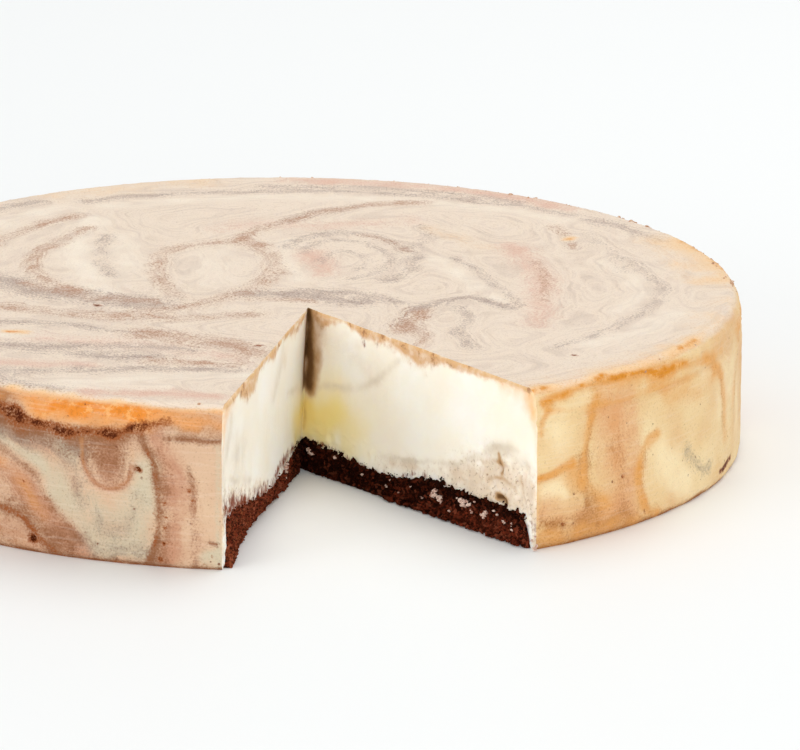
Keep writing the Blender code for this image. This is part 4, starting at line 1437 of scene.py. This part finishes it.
class CHEESECAKE_OT_add_loose_crumbs(bpy.types.Operator):
    """Add the dark crumbs that cling to the cut edges of the base"""

    bl_idname = "cheesecake.add_loose_crumbs"
    bl_label = "Add loose crumbs"

    def execute(self, context):
        settings = context.scene.cheesecake_crumb
        rng = np.random.default_rng(11)
        spots = []
        for cut, normal in zip((RIGHT_CUT, LEFT_CUT), cut_directions()):
            for i in range(settings.loose):
                along = rng.uniform(*CRUMB_STRETCH)
                top = base_height(cut, along)
                size = (0.35 + 0.75 * rng.uniform() ** 2) * MM
                height = top + rng.uniform(-0.9, 1.5) * MM if i % 2 else rng.uniform(0.0004, top)
                size *= 0.55 if height > top + 0.5 * MM else 1.0
                out = rng.uniform(0.3, 1.0) * MM if height < top else rng.uniform(-0.10, 0.10) * MM
                height = max(height, size * 0.62)
                out -= undercut(along, min(height / top, 1.0)) if cut == LEFT_CUT else 0.0
                spots.append((cut_point(cut, along, height) + Vector(normal) * out, size, 0.8))
            for i in range(settings.clods if cut == RIGHT_CUT else settings.clods // 3):
                along = rng.uniform(*CLOD_STRETCH)
                size = rng.uniform(1.1, 2.3) * MM
                height = base_height(cut, along) + rng.uniform(-0.5, 0.5) * MM
                sunk = Vector(normal) * rng.uniform(0.1, 0.5) * MM
                spots.append((cut_point(cut, along, height) - sunk, size, 0.8))
            for i in range(settings.clods if cut == RIGHT_CUT else 0):
                size = rng.uniform(0.7, 1.7) * MM
                along = rng.uniform(*SPILL_STRETCH)
                spilled = Vector(normal) * rng.uniform(0.5, 1.7) * MM
                spots.append((cut_point(cut, along, size * 0.58) + spilled, size, 0.8))
        piece = add_lumps("loose_cocoa_crumbs", spots, rng)
        piece.data.materials.append(bpy.data.materials["pressed_cocoa"])
        finish_piece(piece, None, 70.0)
        return {"FINISHED"}


# Pale bits in the dark crumb: millimetres out from the slice's tip, height and size
RIGHT_FLECKS = (
    (4, 5.2, 1.8), (5.2, 4.6, 1.4), (14, 5.8, 1.1), (25, 4.0, 0.9), (34, 3.2, 0.8), (52.8, 5.4, 2.6),
    (54.5, 5.0, 2.0), (55.4, 3.9, 1.3), (62.5, 6.2, 2.0), (64, 5.6, 2.6), (65.6, 5.9, 2.0),
    (66.2, 4.4, 1.0), (70.6, 4.2, 1.8), (71.4, 5.3, 1.5), (74.5, 6.2, 1.0), (78, 4.6, 0.9),
    (58, 2.6, 0.8), (47.4, 3.4, 0.8), (81, 3.2, 0.8), (89.2, 0.7, 1.3), (90.2, 1.5, 1.0),
    (88.4, 2.4, 0.9), (89.6, 3.6, 0.7),
)
LEFT_FLECKS = ((20, 6, 1.4), (20.6, 4.6, 1.2), (21, 3.2, 1.0))
LUMPS_IN_FLECK = 4
SMALL_FLECKS = 9


class CHEESECAKE_OT_add_flecks(bpy.types.Operator):
    """Add the pale bits of filling that the knife pressed into the crumb"""

    bl_idname = "cheesecake.add_flecks"
    bl_label = "Add filling flecks"

    def execute(self, context):
        rng = np.random.default_rng(4)
        right, left = cut_directions()
        spots = []
        for cut, normal, flecks in ((RIGHT_CUT, right, RIGHT_FLECKS), (LEFT_CUT, left, LEFT_FLECKS)):
            for along, height, size in flecks:
                for i in range(LUMPS_IN_FLECK):
                    shift = rng.uniform(-0.4, 0.4, 2) * size
                    at = cut_point(cut, (along + shift[0]) * MM, (height + shift[1] * 0.7) * MM)
                    spots.append((at + Vector(normal) * 0.0007, size * rng.uniform(0.45, 0.75) * MM, 0.7))
            for i in range(SMALL_FLECKS if flecks is RIGHT_FLECKS else 0):
                along = rng.uniform(0.024, 0.084)
                height = rng.uniform(0.5, 0.95) * base_height(cut, along)
                at = cut_point(cut, along, height) + Vector(normal) * 0.0009
                spots.append((at, rng.uniform(0.3, 0.7) * MM, 0.8))
        piece = add_lumps("filling_flecks", spots, rng)
        piece.data.materials.append(fleck_cream())
        finish_piece(piece, None, 70.0)
        return {"FINISHED"}


# Nibs on the rim, two of three of them on the first stretch round from the right
NIB_COUNT = 200
NIB_STRETCH = math.radians(75.0)


class CHEESECAKE_OT_add_rim_nibs(bpy.types.Operator):
    """Add the small browned nibs that stand on the rim"""

    bl_idname = "cheesecake.add_rim_nibs"
    bl_label = "Add rim nibs"

    def execute(self, context):
        rim_round = context.scene.cheesecake_filling.rim_round
        rng = np.random.default_rng(8)
        spots = []
        for i in range(NIB_COUNT):
            angle = rng.uniform(0.0, NIB_STRETCH) if i % 3 else rng.uniform(RIGHT_CUT, LEFT_CUT)
            row = rng.uniform(RIM_ROW + 0.02, 0.995)
            radius, height = wall_profile(np.array([row]), np.array([angle]), rim_round)
            at = Vector((radius[0] * math.cos(angle), radius[0] * math.sin(angle), height[0]))
            spots.append((at, (0.2 + 0.9 * rng.uniform() ** 3) * MM, 0.8))
        piece = add_lumps("rim_nibs", spots, rng)
        piece.data.materials.append(browned_crumb())
        finish_piece(piece, None, 70.0)
        return {"FINISHED"}


# The view from the front, through a long lens
CAMERA_PLACE = Vector((0.0, -1.75399, 0.50050))
CAMERA_FORWARD = Vector((0.016408, 0.963786, -0.266172))
CAMERA_RIGHT = Vector((0.999865, -0.015574, 0.005242))
CAMERA_LENS = 331.47
SENSOR_WIDTH = 36.0


def add_camera():
    camera = bpy.data.objects.new("camera", bpy.data.cameras.new("camera"))
    bpy.context.scene.collection.objects.link(camera)
    up = CAMERA_RIGHT.cross(CAMERA_FORWARD)
    turned = Matrix((CAMERA_RIGHT, up, -CAMERA_FORWARD)).transposed()
    camera.matrix_world = Matrix.Translation(CAMERA_PLACE) @ turned.to_4x4()
    camera.data.lens = CAMERA_LENS
    camera.data.sensor_width = SENSOR_WIDTH
    camera.data.clip_start = 0.05
    bpy.context.scene.camera = camera


def add_light(name, place_at, target, size, power, colour):
    light = bpy.data.lights.new(name, "AREA")
    light.shape = "DISK"
    light.size = size
    light.energy = power
    light.color = colour
    lamp = bpy.data.objects.new(name, light)
    bpy.context.scene.collection.objects.link(lamp)
    lamp.location = place_at
    lamp.rotation_euler = (Vector(target) - Vector(place_at)).to_track_quat("-Z", "Y").to_euler()


# The softboxes: name, place, what it points at, size, share of the lamp power and colour
WARM_WHITE = (1.0, 0.985, 0.96)
SLICE_FRONT = (0.0, -0.05, 0.02)
SOFTBOXES = (
    ("overhead_softbox", (0.35, 0.45, 1.1), (0.0, 0.0, 0.0), 1.1, 1.3, WARM_WHITE),
    ("right_softbox", (1.3, -0.8, 0.4), SLICE_FRONT, 0.8, 0.6, WARM_WHITE),
    ("left_softbox", (-1.3, -1.0, 0.40), SLICE_FRONT, 1.0, 1.9, WARM_WHITE),
    ("front_softbox", (0.15, -1.5, 0.38), SLICE_FRONT, 0.5, 1.1, (1.0, 0.98, 0.95)),
)


class CHEESECAKE_OT_add_stage(bpy.types.Operator):
    """Add the pale floor, the soft studio lights and the camera"""

    bl_idname = "cheesecake.add_stage"
    bl_label = "Add stage"

    def execute(self, context):
        settings = context.scene.cheesecake_stage
        select_nothing()
        bpy.ops.mesh.primitive_plane_add(size=30.0, location=(0.0, 0.0, 0.0))
        floor = bpy.context.object
        floor.name = "floor"
        material, _, shader = new_material("pale_floor")
        shader.inputs["Base Color"].default_value = settings.floor
        shader.inputs["Roughness"].default_value = 0.55
        floor.data.materials.append(material)
        world = bpy.data.worlds.new("studio")
        context.scene.world = world
        world.use_nodes = True
        backdrop = world.node_tree.nodes["Background"]
        backdrop.inputs["Color"].default_value = (0.96, 0.98, 1.0, 1.0)
        backdrop.inputs["Strength"].default_value = settings.sky_strength
        for name, place_at, target, size, share, colour in SOFTBOXES:
            add_light(name, place_at, target, size, settings.lamp_power * share, colour)
        context.scene.view_settings.view_transform = "Standard"
        add_camera()
        return {"FINISHED"}


class CHEESECAKE_PT_panel(bpy.types.Panel):
    """The steps that build the cheesecake"""

    bl_label = "Cheesecake"
    bl_space_type = "VIEW_3D"
    bl_region_type = "UI"
    bl_category = "Cheesecake"

    def draw(self, context):
        for operator in STEPS:
            self.layout.operator(operator.bl_idname)


STEPS = (
    CHEESECAKE_OT_add_filling,
    CHEESECAKE_OT_add_crumb_base,
    CHEESECAKE_OT_add_loose_crumbs,
    CHEESECAKE_OT_add_flecks,
    CHEESECAKE_OT_add_rim_nibs,
    CHEESECAKE_OT_add_stage,
)
SETTINGS = {
    "cheesecake_filling": FillingSettings,
    "cheesecake_crumb": CrumbSettings,
    "cheesecake_stage": StageSettings,
}
CLASSES = (*SETTINGS.values(), *STEPS, CHEESECAKE_PT_panel)


def register():
    for cls in CLASSES:
        bpy.utils.register_class(cls)
    for name, group in SETTINGS.items():
        setattr(bpy.types.Scene, name, bpy.props.PointerProperty(type=group))


def unregister():
    for name in SETTINGS:
        delattr(bpy.types.Scene, name)
    for cls in reversed(CLASSES):
        bpy.utils.unregister_class(cls)


def main():
    register()
    bpy.ops.cheesecake.add_filling()
    bpy.ops.cheesecake.add_crumb_base()
    bpy.ops.cheesecake.add_loose_crumbs()
    bpy.ops.cheesecake.add_flecks()
    bpy.ops.cheesecake.add_rim_nibs()
    bpy.ops.cheesecake.add_stage()


if __name__ == "__main__":
    main()
